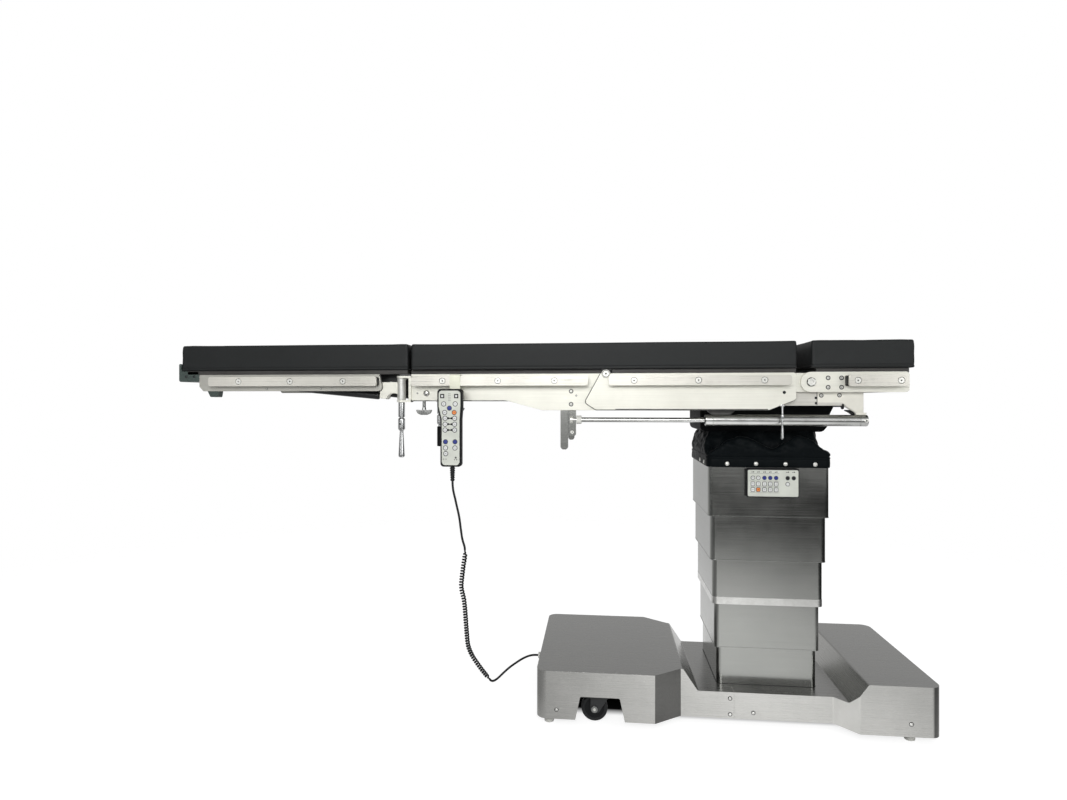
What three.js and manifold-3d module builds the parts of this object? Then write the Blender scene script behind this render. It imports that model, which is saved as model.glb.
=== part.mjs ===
// Operating table on a telescopic column: a base on four casters and four lock feet, a column of
// five sleeves, a two axis tilt head under a cloth bellows, a shifting table top in a seat, a back,
// a head and two leg sections, and a hand control on a curly cord.
// All lengths are in millimetres. X runs from the foot end to the head end and is counted from the
// column's axis, Y runs to the patient's left, and Z is counted up from the floor.
// A size whose name ends in Run, Set, Rise or Drop says how far a place lies along, across, above or
// below the place that it follows.
import * as THREE from 'three';
import { mergeVertices } from 'three/addons/utils/BufferGeometryUtils.js';
import Module from 'manifold-3d';

const wasm = await Module();
wasm.setup();

// Fits
const gap = 0.3; // between pieces that touch, slide or turn on each other
const weld = 1; // how far welded plates reach into each other
const overrun = 6; // how far a cut runs past the faces that it opens

// Base cover, chassis and what stands under them
const columnWidth = 268;
const columnDepth = 280;
const footLobeReach = 631;
const headLobeReach = 411;
const baseHalfWidth = 255;
const waistWall = 58;
const waistHalfWidth = columnDepth / 2 + waistWall;
const groundClearance = 20;
const lobeTop = 149;
const spineTopDrop = 58;
const spineTop = lobeTop - spineTopDrop;
const footSpine = 60;
const footSlopeEnd = columnWidth / 2 + footSpine;
const headSpine = 26;
const headWaistEnd = columnWidth / 2 + headSpine;
const headFlankStartRun = 48;
const headFlankStart = headWaistEnd + headFlankStartRun;
const headSlopeEndRun = 29;
const headSlopeEnd = headWaistEnd + headSlopeEndRun;
const headTopEdgeRun = 42;
const headTopEdge = headSlopeEnd + headTopEdgeRun;
const coverCorner = 28;
const coverWall = 3;
const wheelWindowTopHalf = 53;
const wheelWindowFootHalf = 68;
const wheelWindowTopRise = 63;
const wheelWindowTop = groundClearance + wheelWindowTopRise;
const chassisInset = 6;
const chassisPlate = 7.7;
const casterFootRun = 179;
const casterFootX = footLobeReach - casterFootRun;
const casterFootSet = 50;
const casterFootY = baseHalfWidth - casterFootSet;
const casterHeadRun = 139;
const casterHeadX = headLobeReach - casterHeadRun;
const casterHeadSet = 80;
const casterHeadY = baseHalfWidth - casterHeadSet;
const casterTrail = 22;
const wheelRadius = 36;
const wheelWidth = 24;
const wheelLift = 1.5;
const wheelEdge = 4;
const axleRadius = 6;
const axleHeadRadius = 9;
const axleHead = 4;
const forkArm = 4;
const forkSideGap = 1.5;
const forkArmRadius = 11;
const forkCrown = 4.5;
const forkCrownHalf = 19;
const stemRadius = 8;
const stemReach = 14;
const lockFootRun = 33;
const lockFootX = footLobeReach - lockFootRun;
const lockHeadRun = 68;
const lockHeadX = headLobeReach - lockHeadRun;
const lockSet = 33;
const lockY = baseHalfWidth - lockSet;
const lockTipRadius = 13;
const lockTipHeight = 14;
const lockStemRadius = 9;
const lockStemTop = 74;
const lockBossRadius = 15;
const lockBossFoot = 32;
const glandY = -86;
const glandDrop = 19.6;
const glandZ = lobeTop - glandDrop;
const glandRadius = 9;
const glandNose = 9;
const glandBore = 6;
const footTopEdgeRun = 39;
const footTopEdge = footSlopeEnd + footTopEdgeRun;
const wheelWindowCentreRun = 7;
const wheelWindowCentre = casterFootX + wheelWindowCentreRun;
const footFlankEndRun = 79;
const footFlankEnd = footTopEdge + footFlankEndRun;

// Column
const columnCorner = 14;
const sleeveStep = 6.75;
const sleeveWall = 4;
const sleeveCount = 5;
const lowestReveal = 103;
const reveal = 123;
const stageTravel = 100;
const collarHeight = 10;
const headPlate = 8;
const topSleeveHeight = 149;
const rimTop = spineTop + lowestReveal + (sleeveCount - 2) * reveal + topSleeveHeight;
const nestClearance = 3;
const ramBarrelRadius = 46;
const ramBarrelWall = 8;
const ramStages = 4;
const ramStageStep = 7;
const ramInsert = 40;
const panelLeft = -62;
const panelRight = 77;
const panelFootDrop = 93;
const panelFoot = rimTop - panelFootDrop;
const panelTopDrop = 14;
const panelTop = rimTop - panelTopDrop;
const panelDepth = 14;
const panelCorner = 4;
const headPlateUnderDrop = 18;
const headPlateUnder = rimTop - headPlateUnderDrop;

// Tilt head under the bellows
const tiltRise = 128;
const tiltZ = rimTop + tiltRise;
const crossHalf = 27;
const trunnionRadius = 10;
const trunnionReach = 44;
const earThickness = 12;
const earRadius = 15;
const yokeFoot = 60;
const bandFootDrop = 13;
const bandFoot = rimTop - bandFootDrop;
const bandTopRise = 15;
const bandTop = rimTop + bandTopRise;
const bandWall = 4;
const clothWall = 3;
const clothBulge = 9;
const clothWaistDrop = 48;
const clothWaistZ = tiltZ - clothWaistDrop;
const clothTopDrop = 8;
const clothTop = tiltZ - clothTopDrop;
const clothCorner = 30;
const hoodFootX = -176;
const hoodHeadX = 190;
const hoodHeadMidRun = 14;
const hoodHeadMidX = hoodHeadX - hoodHeadMidRun;
const hoodHeadMidRise = 3;
const hoodHeadMidZ = tiltZ + hoodHeadMidRise;
const hoodHeadLowRun = 18;
const hoodHeadLowX = hoodHeadX - hoodHeadLowRun;
const hoodHeadLowDrop = 28;
const hoodHeadLowZ = tiltZ - hoodHeadLowDrop;
const hoodHalfWidth = 120;
const hoodFootDrop = 45;
const hoodFoot = tiltZ - hoodFootDrop;
const hoodWall = 3.5;
const hoodCorner = 14;
const hoodMouthInset = 28;
const hoodMouthX = -hoodFootX - hoodMouthInset;
const hoodMouthSet = 10;
const hoodMouthY = hoodHalfWidth - hoodMouthSet;
const clothWaistRun = 10;
const clothWaistX = hoodMouthX - clothWaistRun;
const clothWaistSet = 8;
const clothWaistY = hoodMouthY - clothWaistSet;

// Guide frame and shift cylinder
const guidePlateUnderRise = 32;
const guidePlateUnder = tiltZ + guidePlateUnderRise;
const guidePlate = 8;
const guideFootRun = 14;
const guideFootX = hoodFootX - guideFootRun;
const guideHeadRun = 36;
const guideHeadX = hoodHeadX + guideHeadRun;
const guideHalfWidth = 230;
const guideWall = 8;
const guideTopRise = 36;
const guideTop = guidePlateUnder + guideTopRise;
const beamWidth = 23.7;
const beamHeight = 22;
const lipReach = 24;
const bracketRun = 114;
const bracketX = guideHeadX - bracketRun;
const bracketFootDrop = 22;
const bracketFoot = guidePlateUnder - bracketFootDrop;
const hubRun = 57;
const hubX = guideFootX + hubRun;
const hubRise = 13;
const hubZ = guidePlateUnder + hubRise;
const hubRadius = 47;
const hubSet = 22;
const hubY = guideHalfWidth - hubSet;
const hubThickness = 16;
const shiftSet = 4;
const shiftY = guideHalfWidth - shiftSet;
const shiftDrop = 42;
const shiftZ = guidePlateUnder - shiftDrop;
const shiftCylinderRadius = 15;
const shiftRodRadius = 6.5;
const shiftCylinderFootRun = 11;
const shiftCylinderFoot = guideFootX + shiftCylinderFootRun;
const shiftCylinderHeadRun = 10;
const shiftCylinderHead = guideHeadX + shiftCylinderHeadRun;
const shiftCylinderEnd = 20;
const shiftRodEndRise = 59;
const shiftRodEnd = shiftCylinderFoot + shiftRodEndRise;
const saddleRun = 21;
const saddleX = guideHeadX - saddleRun;
const saddleLength = 26;
const saddleWidth = 20;
const pinRun = 7;
const pinX = shiftCylinderHead - pinRun;
const pinRadius = 5;
const pinHead = 3;

// Table top: sections, boards, plates, rails and pads
const seatPlateSet = 3;
const seatPlateY = guideHalfWidth + seatPlateSet;
const plateWall = 8;
const boardUnderRise = 85;
const boardUnder = guidePlateUnder + boardUnderRise;
const board = 10;
const plateTopDrop = 1;
const plateTop = boardUnder - plateTopDrop;
const seatPlateFootDrop = 74;
const seatPlateFoot = boardUnder - seatPlateFootDrop;
const seatPlateDeepDrop = 27;
const seatPlateDeep = seatPlateFoot - seatPlateDeepDrop;
const plateCorner = 9;
const crossWall = 8;
const beamHeadX = 110;
const backHingeX = -443;
const backHingeDrop = 2;
const backHingeZ = boardUnder - backHingeDrop;
const hingePinRadius = 8;
const hingeEye = 14;
const hingeHeadRadius = 12;
const hingeHead = 6;
const backPlateFootXRun = 57;
const backPlateFootX = backHingeX - backPlateFootXRun;
const backPlateFootDrop = 80;
const backPlateFootZ = boardUnder - backPlateFootDrop;
const backPlateFootRun = 30;
const backPlateDeepDrop = 19;
const backPlateDeep = backPlateFootZ - backPlateDeepDrop;
const backPlateHeadRise = 27;
const backPlateHeadZ = backPlateDeep + backPlateHeadRise;
const backLength = 532;
const headHingeX = backHingeX + backLength;
const headHingeDrop = 26;
const headHingeZ = boardUnder - headHingeDrop;
const headEye = 26.5;
const headPlateEndRun = 243;
const headPlateEnd = headHingeX + headPlateEndRun;
const tongueStartRun = 69;
const tongueStart = headHingeX - tongueStartRun;
const tongueFootDrop = 52;
const tongueFoot = boardUnder - tongueFootDrop;
const tongueTopDrop = 2;
const tongueTop = boardUnder - tongueTopDrop;
const tongueEnd = 19;
const headPinRadius = 7;
const boardSetback = 12;
const railWall = 10;
const railHeight = 26.5;
const railDrop = 21;
const railZ = boardUnder - railDrop;
const headRailHeight = 30;
const headRailDrop = 23;
const headRailZ = boardUnder - headRailDrop;
const railCorner = 6;
const spacerRadius = 9;
const seatRailHeadRun = 48;
const seatRailHeadX = backHingeX - seatRailHeadRun;
const seatRailScrewShares = [0.182, 0.498, 0.814];
const backRailFootRun = 7;
const backRailFootX = backHingeX + backRailFootRun;
const backRailScrewShares = [0.143, 0.498, 0.855];
const headRailFootRun = 86;
const headRailFootX = headHingeX + headRailFootRun;
const headRailHeadRun = 12;
const headRailHeadX = headPlateEnd - headRailHeadRun;
const headRailScrewShares = [0.152, 0.876];
const padThickness = 74.7;
const padTop = boardUnder + board + gap + padThickness;
const mainPadHeadRun = 36;
const mainPadHeadX = headHingeX - mainPadHeadRun;
const headPadFootRun = 4;
const headPadFootX = headHingeX - headPadFootRun;
const headPadHeadRun = 6.6;
const headPadHeadX = headPlateEnd + headPadHeadRun;
const flexHalf = 65;
const padCornerRadius = 18;
const padFootInset = 5;
const padEdgeInset = 3;
const padCrown = 5;
const padSidePull = 2.5;
const padShoulder = 12;
const padInnerInset = 55;
const seatLength = 540;
const footEndX = backHingeX - seatLength;
const backPlateY = seatPlateY + plateWall + gap;
const legPlateSet = 5;
const legPlateY = backPlateY + legPlateSet;
const seatSlopeStartRun = 265;
const seatSlopeStart = footEndX + seatSlopeStartRun;
const seatSlopeEndRun = 102;
const seatSlopeEnd = seatSlopeStart + seatSlopeEndRun;
const seatPlateHeadRun = 27;
const seatPlateHeadX = backHingeX - seatPlateHeadRun;
const midCrossRun = 117;
const midCrossX = backHingeX - midCrossRun;
const backPlateHeadRun = 38;
const backPlateHeadX = headHingeX - backPlateHeadRun;
const railStand = 10.7;
const railY = legPlateY + plateWall + railStand;
const seatRailFootRun = 8;
const seatRailFootX = footEndX + seatRailFootRun;
const backRailHeadRun = 17;
const backRailHeadX = backPlateHeadX - backRailHeadRun;
const padHalfWidthSet = 4;
const padHalfWidth = railY - padHalfWidthSet;
const mainPadFootRun = 2;
const mainPadFootX = footEndX + mainPadFootRun;
const backPlateSlopeRun = 68;
const backPlateSlopeX = backPlateHeadX - backPlateSlopeRun;

// Levers and the shift rod's horn under the seat section
const hornRun = 15;
const hornX = midCrossX + hornRun;
const hornWidth = 21;
const hornFootDrop = 45;
const hornFoot = shiftZ - hornFootDrop;
const hornTop = guidePlateUnder;
const hornWall = 10;
const stopX = hornX - hornWidth;
const stopFootDrop = 134;
const stopFoot = seatPlateFoot - stopFootDrop;
const stopWall = 8;
const releaseRun = 74;
const releaseX = headHingeX - releaseRun;
const releaseSet = 11.2;
const releaseY = backPlateY + releaseSet;
const releaseRadius = 2.6;
const releaseTopDrop = 89;
const releaseTop = boardUnder - releaseTopDrop;
const releaseKnuckleDrop = 28;
const releaseKnuckle = releaseTop - releaseKnuckleDrop;
const releaseKnuckleRadius = 4.5;
const releaseFootDrop = 59;
const releaseFoot = releaseKnuckle - releaseFootDrop;
const shiftRodFootRun = 8;
const shiftRodFoot = hornX + shiftRodFootRun;

// Leg sections
const legPadHeadRun = 2;
const legPadHeadX = footEndX - legPadHeadRun;
const legInnerY = 8;
const legPlateFootDrop = 50;
const legPlateFoot = boardUnder - legPlateFootDrop;
const legBevel = 14;
const legRailScrewShares = [0.183, 0.492, 0.805];
const legCapDepth = 60;
const legCapFootDrop = 21;
const legCapFoot = boardUnder - legCapFootDrop;
const legCapTopRise = 31;
const legCapTop = boardUnder + legCapTopRise;
const legCapWall = 13;
const legBoardHeadRun = 5;
const legBoardHeadX = legPadHeadX - legBoardHeadRun;
const legBeamY = 30;
const legBeamWall = 6;
const legBeamFootDrop = 32;
const legBeamFoot = boardUnder - legBeamFootDrop;
const knobFootDrop = 17;
const knobFoot = legPlateFoot - knobFootDrop;
const knobTaper = 8;
const knobSet = 20.3;
const knobY = legPlateY - knobSet;
const spreadRun = 29;
const spreadX = footEndX - spreadRun;
const spreadSet = 3;
const spreadY = seatPlateY + spreadSet;
const tiltPinRun = 33;
const tiltPinX = spreadX - tiltPinRun;
const tiltPinDrop = 27;
const tiltPinZ = boardUnder - tiltPinDrop;
const tiltPinRadius = 6;
const legEarSet = 47;
const legEarY = spreadY - legEarSet;
const legEarWall = 10;
const legEarRadius = 15;
const legEarReach = 60;
const barrelRadius = 12;
const barrelFootDrop = 72.7;
const barrelFoot = boardUnder - barrelFootDrop;
const barrelTopDrop = 12.3;
const barrelTop = boardUnder - barrelTopDrop;
const lugWall = 6;
const lugRadius = 13;
const spreadPinRadius = 6;
const blockFootDrop = 73;
const blockFootZ = boardUnder - blockFootDrop;
const blockTopDrop = 23;
const blockTop = boardUnder - blockTopDrop;
const blockWidth = 20;
const notchRun = 9;
const notchX = tiltPinX + notchRun;
const notchRadius = 7;
const springPivotRun = 14;
const springPivotX = tiltPinX - springPivotRun;
const springPivotDrop = 63;
const springPivotZ = boardUnder - springPivotDrop;
const springSet = 24;
const springY = spreadY - springSet;
const springRadius = 11;
const springBarrelGap = 24;
const springBarrelLength = 310;
const springLength = 503.2;
const springRodRadius = 4;
const springEye = 8;
const springEyeWall = 10;
const springPinRadius = 4;
const springRise = 47;
const springAnchorZ = springPivotZ + springRise;
const anchorWall = 6;
const anchorHalf = 14;
const clampShaftRadius = 9.5;
const clampShaftFootDrop = 121;
const clampShaftFoot = boardUnder - clampShaftFootDrop;
const clampKnuckleRadius = 10;
const clampKnuckleFootDrop = 39;
const clampKnuckleFoot = clampShaftFoot - clampKnuckleFootDrop;
const clampNeckRadius = 5;
const clampGripRadius = 9;
const clampFootDrop = 74;
const clampFoot = clampKnuckleFoot - clampFootDrop;
const legPlateHeadRun = 21;
const legPlateHeadX = tiltPinX - legPlateHeadRun;
const legRailHeadRun = 7;
const legRailHeadX = legPlateHeadX - legRailHeadRun;
const blockFootRun = 10;
const blockFootX = springPivotX - blockFootRun;
const springAnchorX = springPivotX - Math.sqrt(springLength ** 2 - springRise ** 2);
const legPadFootRun = 93;
const legPadFootX = springAnchorX - legPadFootRun;
const legPlateFootRun = 47;
const legPlateFootX = springAnchorX - legPlateFootRun;
const legRailFootRun = 5;
const legRailFootX = springAnchorX - legRailFootRun;
const legCapFootRun = 107;
const legCapFootX = springAnchorX - legCapFootRun;
const legBoardFootRun = 80;
const legBoardFootX = springAnchorX - legBoardFootRun;
const knobFootRun = 21;
const knobFootX = legPlateFootX + knobFootRun;
const knobHeadRun = 37;
const knobHeadX = knobFootX + knobHeadRun;

// Hand control and its cord
const controlX = -861;
const controlHalf = 34.5;
const controlWaistHalf = 29;
const controlLean = 3;
const controlTopDrop = 22;
const controlTop = railZ - controlTopDrop;
const controlShoulderDrop = 52;
const controlShoulder = controlTop - controlShoulderDrop;
const controlWaistDrop = 36;
const controlWaist = controlShoulder - controlWaistDrop;
const controlFootDrop = 122;
const controlFoot = controlWaist - controlFootDrop;
const controlCorner = 7;
const controlFrontSet = 37;
const controlFront = railY + controlFrontSet;
const controlDepth = 24;
const hookRun = 5;
const hookX = controlX - hookRun;
const hookWidth = 29;
const hookWall = 4;
const hookFootDrop = 36;
const hookFoot = railZ - hookFootDrop;
const hookLipFootDrop = 6;
const hookLipFoot = railZ - hookLipFootDrop;
const hookBlock = 20;
const reliefRun = 5.9;
const reliefX = controlX + reliefRun;
const reliefFootDrop = 38.8;
const reliefFoot = controlFoot - reliefFootDrop;
const reliefRadius = 6.8;
const reliefGroove = 5;
const reliefRibs = 5;
const cordDiameter = 6;
const curlDiameter = 14;
const curlWire = 4.8;
const curlCount = 44;

// Where the cord runs, chosen by hand: down from the hand control, through the curls and up to the gland
const cordUpperRoute = [
  [-855.1, -290, 664.9], [-854.6, -290, 652], [-853.2, -290, 640.6], [-851.2, -289.6, 630], [-848.5, -289, 618.9],
  [-845.9, -288.5, 606.7], [-843.2, -288, 594.5], [-840.4, -287.5, 582.3], [-837.9, -287, 570.1],
  [-836.2, -286.5, 559.2], [-834.8, -286, 548.3], [-833.8, -285.5, 538.8], [-832.5, -285, 529.3],
  [-830.8, -284.5, 515.7], [-828, -284, 502.1], [-824.6, -283.4, 491], [-823, -283.1, 484], [-822.6, -283, 477.8],
];
const curlRoute = [
  [-822.6, -283, 477.4], [-822.2, -282.9, 470], [-823.5, -282, 455.7], [-826.9, -280, 436.2], [-829.9, -277.6, 416.5],
  [-832.6, -275, 396.7], [-834.6, -272, 376.8], [-832.7, -269, 359.7], [-829.2, -266, 342.6], [-827.2, -261, 317.8],
  [-826.3, -256, 293.1], [-825.2, -246, 248.7], [-823, -235, 203.5], [-818.5, -229, 184.9], [-811.3, -222, 166],
  [-801.2, -215, 147], [-789.4, -207, 126.5], [-777.4, -198, 107], [-769.3, -192, 94.6],
];
const cordLowerRoute = [
  [-769.1, -191.9, 94.3], [-766.5, -189.9, 90.3], [-762.5, -185.8, 86.9], [-756.5, -180, 86.6],
  [-749.7, -173, 89.3], [-742, -165.7, 94.7], [-732.5, -157.5, 102], [-722.3, -149, 109.4], [-711.7, -140.5, 115.8], [-701.1, -132, 121], [-687.8, -121, 127],
  [-674.3, -110, 131], [-664, -100, 131.8], [-655, -91, 130.6], [-648, -86, 129.4], [-640.4, -86, 129.4],
];

const steel = new THREE.MeshStandardMaterial({ color: 0xbdbcb4, roughness: 0.35, metalness: 0.9 });
const darkSteel = new THREE.MeshStandardMaterial({ color: 0x8e9290, roughness: 0.38, metalness: 0.9 });
const creamPaint = new THREE.MeshStandardMaterial({ color: 0xd8d4c6, roughness: 0.45, metalness: 0.1 });
const blackPaint = new THREE.MeshStandardMaterial({ color: 0x17191b, roughness: 0.5, metalness: 0.2 });
const blackPlastic = new THREE.MeshStandardMaterial({ color: 0x1a1c1e, roughness: 0.55, metalness: 0 });
const blackCloth = new THREE.MeshStandardMaterial({ color: 0x14171a, roughness: 0.75, metalness: 0 });
const padCover = new THREE.MeshStandardMaterial({ color: 0x232628, roughness: 0.5, metalness: 0 });
const rubber = new THREE.MeshStandardMaterial({ color: 0x141617, roughness: 0.8, metalness: 0 });
const chrome = new THREE.MeshStandardMaterial({ color: 0xd6d8d8, roughness: 0.12, metalness: 1 });
const whitePlastic = new THREE.MeshStandardMaterial({ color: 0xe4e4dc, roughness: 0.45, metalness: 0 });
const cordCover = new THREE.MeshStandardMaterial({ color: 0x17191a, roughness: 0.6, metalness: 0 });

const roundSteps = 16;
const smallSteps = 12;
const thinSteps = 8;
const arcSteps = 3;
const sideSteps = 6;

// A closed mesh as a solid that can be joined and cut
function toSolid(geometry) {
  const bare = geometry.clone();
  bare.deleteAttribute('normal');
  bare.deleteAttribute('uv');
  const merged = mergeVertices(bare);
  const vertProperties = new Float32Array(merged.attributes.position.array);
  const triVerts = new Uint32Array(merged.index.array);
  return new wasm.Manifold(new wasm.Mesh({ numProp: 3, vertProperties, triVerts }));
}

// A solid as a mesh geometry
function toGeometry(solid) {
  const mesh = solid.getMesh();
  const geometry = new THREE.BufferGeometry();
  geometry.setAttribute('position', new THREE.BufferAttribute(new Float32Array(mesh.vertProperties), 3));
  geometry.setIndex(new THREE.BufferAttribute(new Uint32Array(mesh.triVerts), 1));
  geometry.computeVertexNormals();
  return geometry;
}

function join(...solids) {
  return solids.reduce((sum, solid) => sum.add(solid));
}

function cut(solid, ...tools) {
  return tools.reduce((rest, tool) => rest.subtract(tool), solid);
}

// A block between two corners
function block(x0, x1, y0, y1, z0, z1) {
  const geometry = new THREE.BoxGeometry(Math.abs(x1 - x0), Math.abs(y1 - y0), Math.abs(z1 - z0));
  geometry.translate((x0 + x1) / 2, (y0 + y1) / 2, (z0 + z1) / 2);
  return toSolid(geometry);
}

function extruded(shape, depth) {
  return new THREE.ExtrudeGeometry(shape, { depth, bevelEnabled: false, curveSegments: arcSteps });
}

// A plate with an outline seen from the side, from y0 to y1
function sidePlate(shape, y0, y1) {
  const geometry = extruded(shape, Math.abs(y1 - y0));
  geometry.rotateX(Math.PI / 2);
  geometry.translate(0, Math.max(y0, y1), 0);
  return toSolid(geometry);
}

// A plate with an outline seen from above, from z0 to z1
function flatPlate(shape, z0, z1) {
  const geometry = extruded(shape, z1 - z0);
  geometry.translate(0, 0, z0);
  return toSolid(geometry);
}

// A polygon whose corners are rounded by the third number of each point
function outline(points) {
  const shape = new THREE.Shape();
  points.forEach(([x, y, radius = 0], index) => {
    const before = points[(index + points.length - 1) % points.length];
    const after = points[(index + 1) % points.length];
    const inLength = Math.hypot(before[0] - x, before[1] - y);
    const outLength = Math.hypot(after[0] - x, after[1] - y);
    const turnIn = Math.atan2(before[1] - y, before[0] - x);
    const turnOut = Math.atan2(after[1] - y, after[0] - x);
    const half = Math.abs(Math.atan2(Math.sin(turnOut - turnIn), Math.cos(turnOut - turnIn))) / 2;
    const run = radius > 0 ? Math.min(radius / Math.tan(half), inLength / 2, outLength / 2) : 0;
    const start = [x + Math.cos(turnIn) * run, y + Math.sin(turnIn) * run];
    const end = [x + Math.cos(turnOut) * run, y + Math.sin(turnOut) * run];
    if (index === 0) shape.moveTo(...start);
    else shape.lineTo(...start);
    if (run > 0) shape.quadraticCurveTo(x, y, ...end);
  });
  shape.closePath();
  return shape;
}

function roundedRectangle(x0, x1, y0, y1, radius) {
  return outline([[x0, y0, radius], [x1, y0, radius], [x1, y1, radius], [x0, y1, radius]]);
}

// A round bar along one axis, from its first to its last place on that axis
function bar(axis, centre, radius, from, to, steps = roundSteps) {
  const geometry = new THREE.CylinderGeometry(radius, radius, Math.abs(to - from), steps);
  if (axis === 'x') geometry.rotateZ(Math.PI / 2);
  if (axis === 'z') geometry.rotateX(Math.PI / 2);
  const middle = (from + to) / 2;
  if (axis === 'x') geometry.translate(middle, centre[0], centre[1]);
  if (axis === 'y') geometry.translate(centre[0], middle, centre[1]);
  if (axis === 'z') geometry.translate(centre[0], centre[1], middle);
  return toSolid(geometry);
}

// A turned piece about an upright axis: its profile lists radius and height, and ends on the axis
function turned(profile, x, y, steps = roundSteps) {
  const geometry = new THREE.LatheGeometry(profile.map(([r, z]) => new THREE.Vector2(r, z)), steps);
  geometry.rotateX(Math.PI / 2);
  geometry.translate(x, y, 0);
  return toSolid(geometry);
}

function named(name, shape, material) {
  const geometry = shape.isBufferGeometry ? shape : toGeometry(shape);
  const mesh = new THREE.Mesh(geometry, material);
  mesh.name = name;
  return mesh;
}

// Base cover: two lobes and a low spine, an open shell whose inset shape is cut out from below
function coverOutline(inset) {
  const corner = coverCorner - inset;
  const wide = baseHalfWidth - inset;
  const waist = waistHalfWidth - inset;
  const half = [
    [-footLobeReach + inset, wide, corner],
    [-footFlankEnd - inset, wide],
    [-footSlopeEnd - inset, waist],
    [headWaistEnd + inset, waist],
    [headFlankStart + inset, wide],
    [headLobeReach - inset, wide, corner],
  ];
  const mirrored = half.map(([x, y, radius]) => [x, -y, radius]).reverse();
  return outline([...half, ...mirrored].reverse());
}

function coverBody(inset, foot) {
  const top = lobeTop - inset;
  const body = flatPlate(coverOutline(inset), foot, top);
  const trough = outline([
    [-footSlopeEnd - inset, spineTop - inset],
    [headSlopeEnd + inset, spineTop - inset],
    [headTopEdge + inset, top],
    [headTopEdge + inset, top + overrun],
    [-footTopEdge - inset, top + overrun],
    [-footTopEdge - inset, top],
  ]);
  return cut(body, sidePlate(trough, -baseHalfWidth - overrun, baseHalfWidth + overrun));
}

function wheelWindow() {
  const low = groundClearance - overrun;
  const shape = outline([
    [-wheelWindowCentre - wheelWindowFootHalf, low],
    [-wheelWindowCentre + wheelWindowFootHalf, low],
    [-wheelWindowCentre + wheelWindowTopHalf, wheelWindowTop, wheelEdge],
    [-wheelWindowCentre - wheelWindowTopHalf, wheelWindowTop, wheelEdge],
  ]);
  return sidePlate(shape, -baseHalfWidth - overrun, baseHalfWidth + overrun);
}

function sleeveHalfX(index) {
  return columnWidth / 2 + index * sleeveStep;
}

function sleeveHalfY(index) {
  return columnDepth / 2 + index * sleeveStep;
}

function sleeveOutline(halfX, halfY) {
  return roundedRectangle(-halfX, halfX, -halfY, halfY, columnCorner);
}

function baseCover() {
  const shell = cut(coverBody(0, groundClearance), coverBody(coverWall, groundClearance - overrun));
  const columnHole = flatPlate(
    sleeveOutline(sleeveHalfX(0) + gap, sleeveHalfY(0) + gap),
    spineTop - coverWall - overrun,
    spineTop + overrun,
  );
  const glandHole = bar('x', [glandY, glandZ], glandBore + gap, -footLobeReach - overrun, -footLobeReach + overrun);
  return named('base_cover', cut(shell, wheelWindow(), columnHole, glandHole), darkSteel);
}

const chassisTop = spineTop - coverWall - gap;
const chassisUnder = chassisTop - chassisPlate;
const casterPlaces = [
  ['foot_right', -casterFootX, -casterFootY],
  ['foot_left', -casterFootX, casterFootY],
  ['head_right', casterHeadX, -casterHeadY],
  ['head_left', casterHeadX, casterHeadY],
];
const lockPlaces = [
  ['foot_right', -lockFootX, -lockY],
  ['foot_left', -lockFootX, lockY],
  ['head_right', lockHeadX, -lockY],
  ['head_left', lockHeadX, lockY],
];

// Chassis: one plate with a guide boss over each lock foot and a hole for each caster stem
function chassis() {
  const plate = flatPlate(coverOutline(chassisInset), chassisUnder, chassisTop);
  const bosses = lockPlaces.map(([, x, y]) =>
    bar('z', [x, y], lockBossRadius, lockBossFoot, chassisUnder + weld, smallSteps));
  const bossHoles = lockPlaces.map(([, x, y]) =>
    bar('z', [x, y], lockStemRadius + gap, lockBossFoot - overrun, chassisTop + overrun, smallSteps));
  const stemHoles = casterPlaces.map(([, x, y]) =>
    bar('z', [x, y], stemRadius + gap, chassisUnder - overrun, chassisTop + overrun, smallSteps));
  return named('chassis', cut(join(plate, ...bosses), ...bossHoles, ...stemHoles), blackPaint);
}

const wheelZ = wheelRadius + wheelLift;
const forkInner = wheelWidth / 2 + forkSideGap;
const forkTop = chassisUnder - gap;

// Caster fork: a crown under the chassis, a stem up through it, two arms and the axle
function casterFork(place, x, y) {
  const outer = forkInner + forkArm;
  const crown = block(-casterTrail - forkArmRadius, forkCrownHalf, -outer, outer, forkTop - forkCrown, forkTop);
  const armShape = outline([
    [-casterTrail - forkArmRadius, wheelZ - forkArmRadius, forkArmRadius],
    [-casterTrail + forkArmRadius, wheelZ - forkArmRadius, forkArmRadius],
    [forkCrownHalf, forkTop - forkCrown / 2],
    [-casterTrail - forkArmRadius, forkTop - forkCrown / 2],
  ]);
  const arms = [-1, 1].map((side) => sidePlate(armShape, side * forkInner, side * outer));
  const axle = bar('y', [-casterTrail, wheelZ], axleRadius, -outer, outer, thinSteps);
  const heads = [-1, 1].map((side) =>
    bar('y', [-casterTrail, wheelZ], axleHeadRadius, side * (outer - weld), side * (outer + axleHead), thinSteps));
  const stem = bar('z', [0, 0], stemRadius, forkTop - weld, chassisTop + stemReach, smallSteps);
  const mesh = named(`caster_fork_${place}`, join(crown, ...arms, axle, ...heads, stem), blackPaint);
  mesh.position.set(x, y, 0);
  return mesh;
}

function casterWheel(place, x, y) {
  const half = wheelWidth / 2;
  const profile = [
    [axleRadius + gap, -half],
    [wheelRadius - wheelEdge, -half],
    [wheelRadius, -half + wheelEdge],
    [wheelRadius, half - wheelEdge],
    [wheelRadius - wheelEdge, half],
    [axleRadius + gap, half],
    [axleRadius + gap, -half],
  ].map(([radius, width]) => new THREE.Vector2(radius, width));
  const mesh = named(`caster_wheel_${place}`, toSolid(new THREE.LatheGeometry(profile, roundSteps)), rubber);
  mesh.position.set(x - casterTrail, y, wheelZ);
  return mesh;
}

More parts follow.
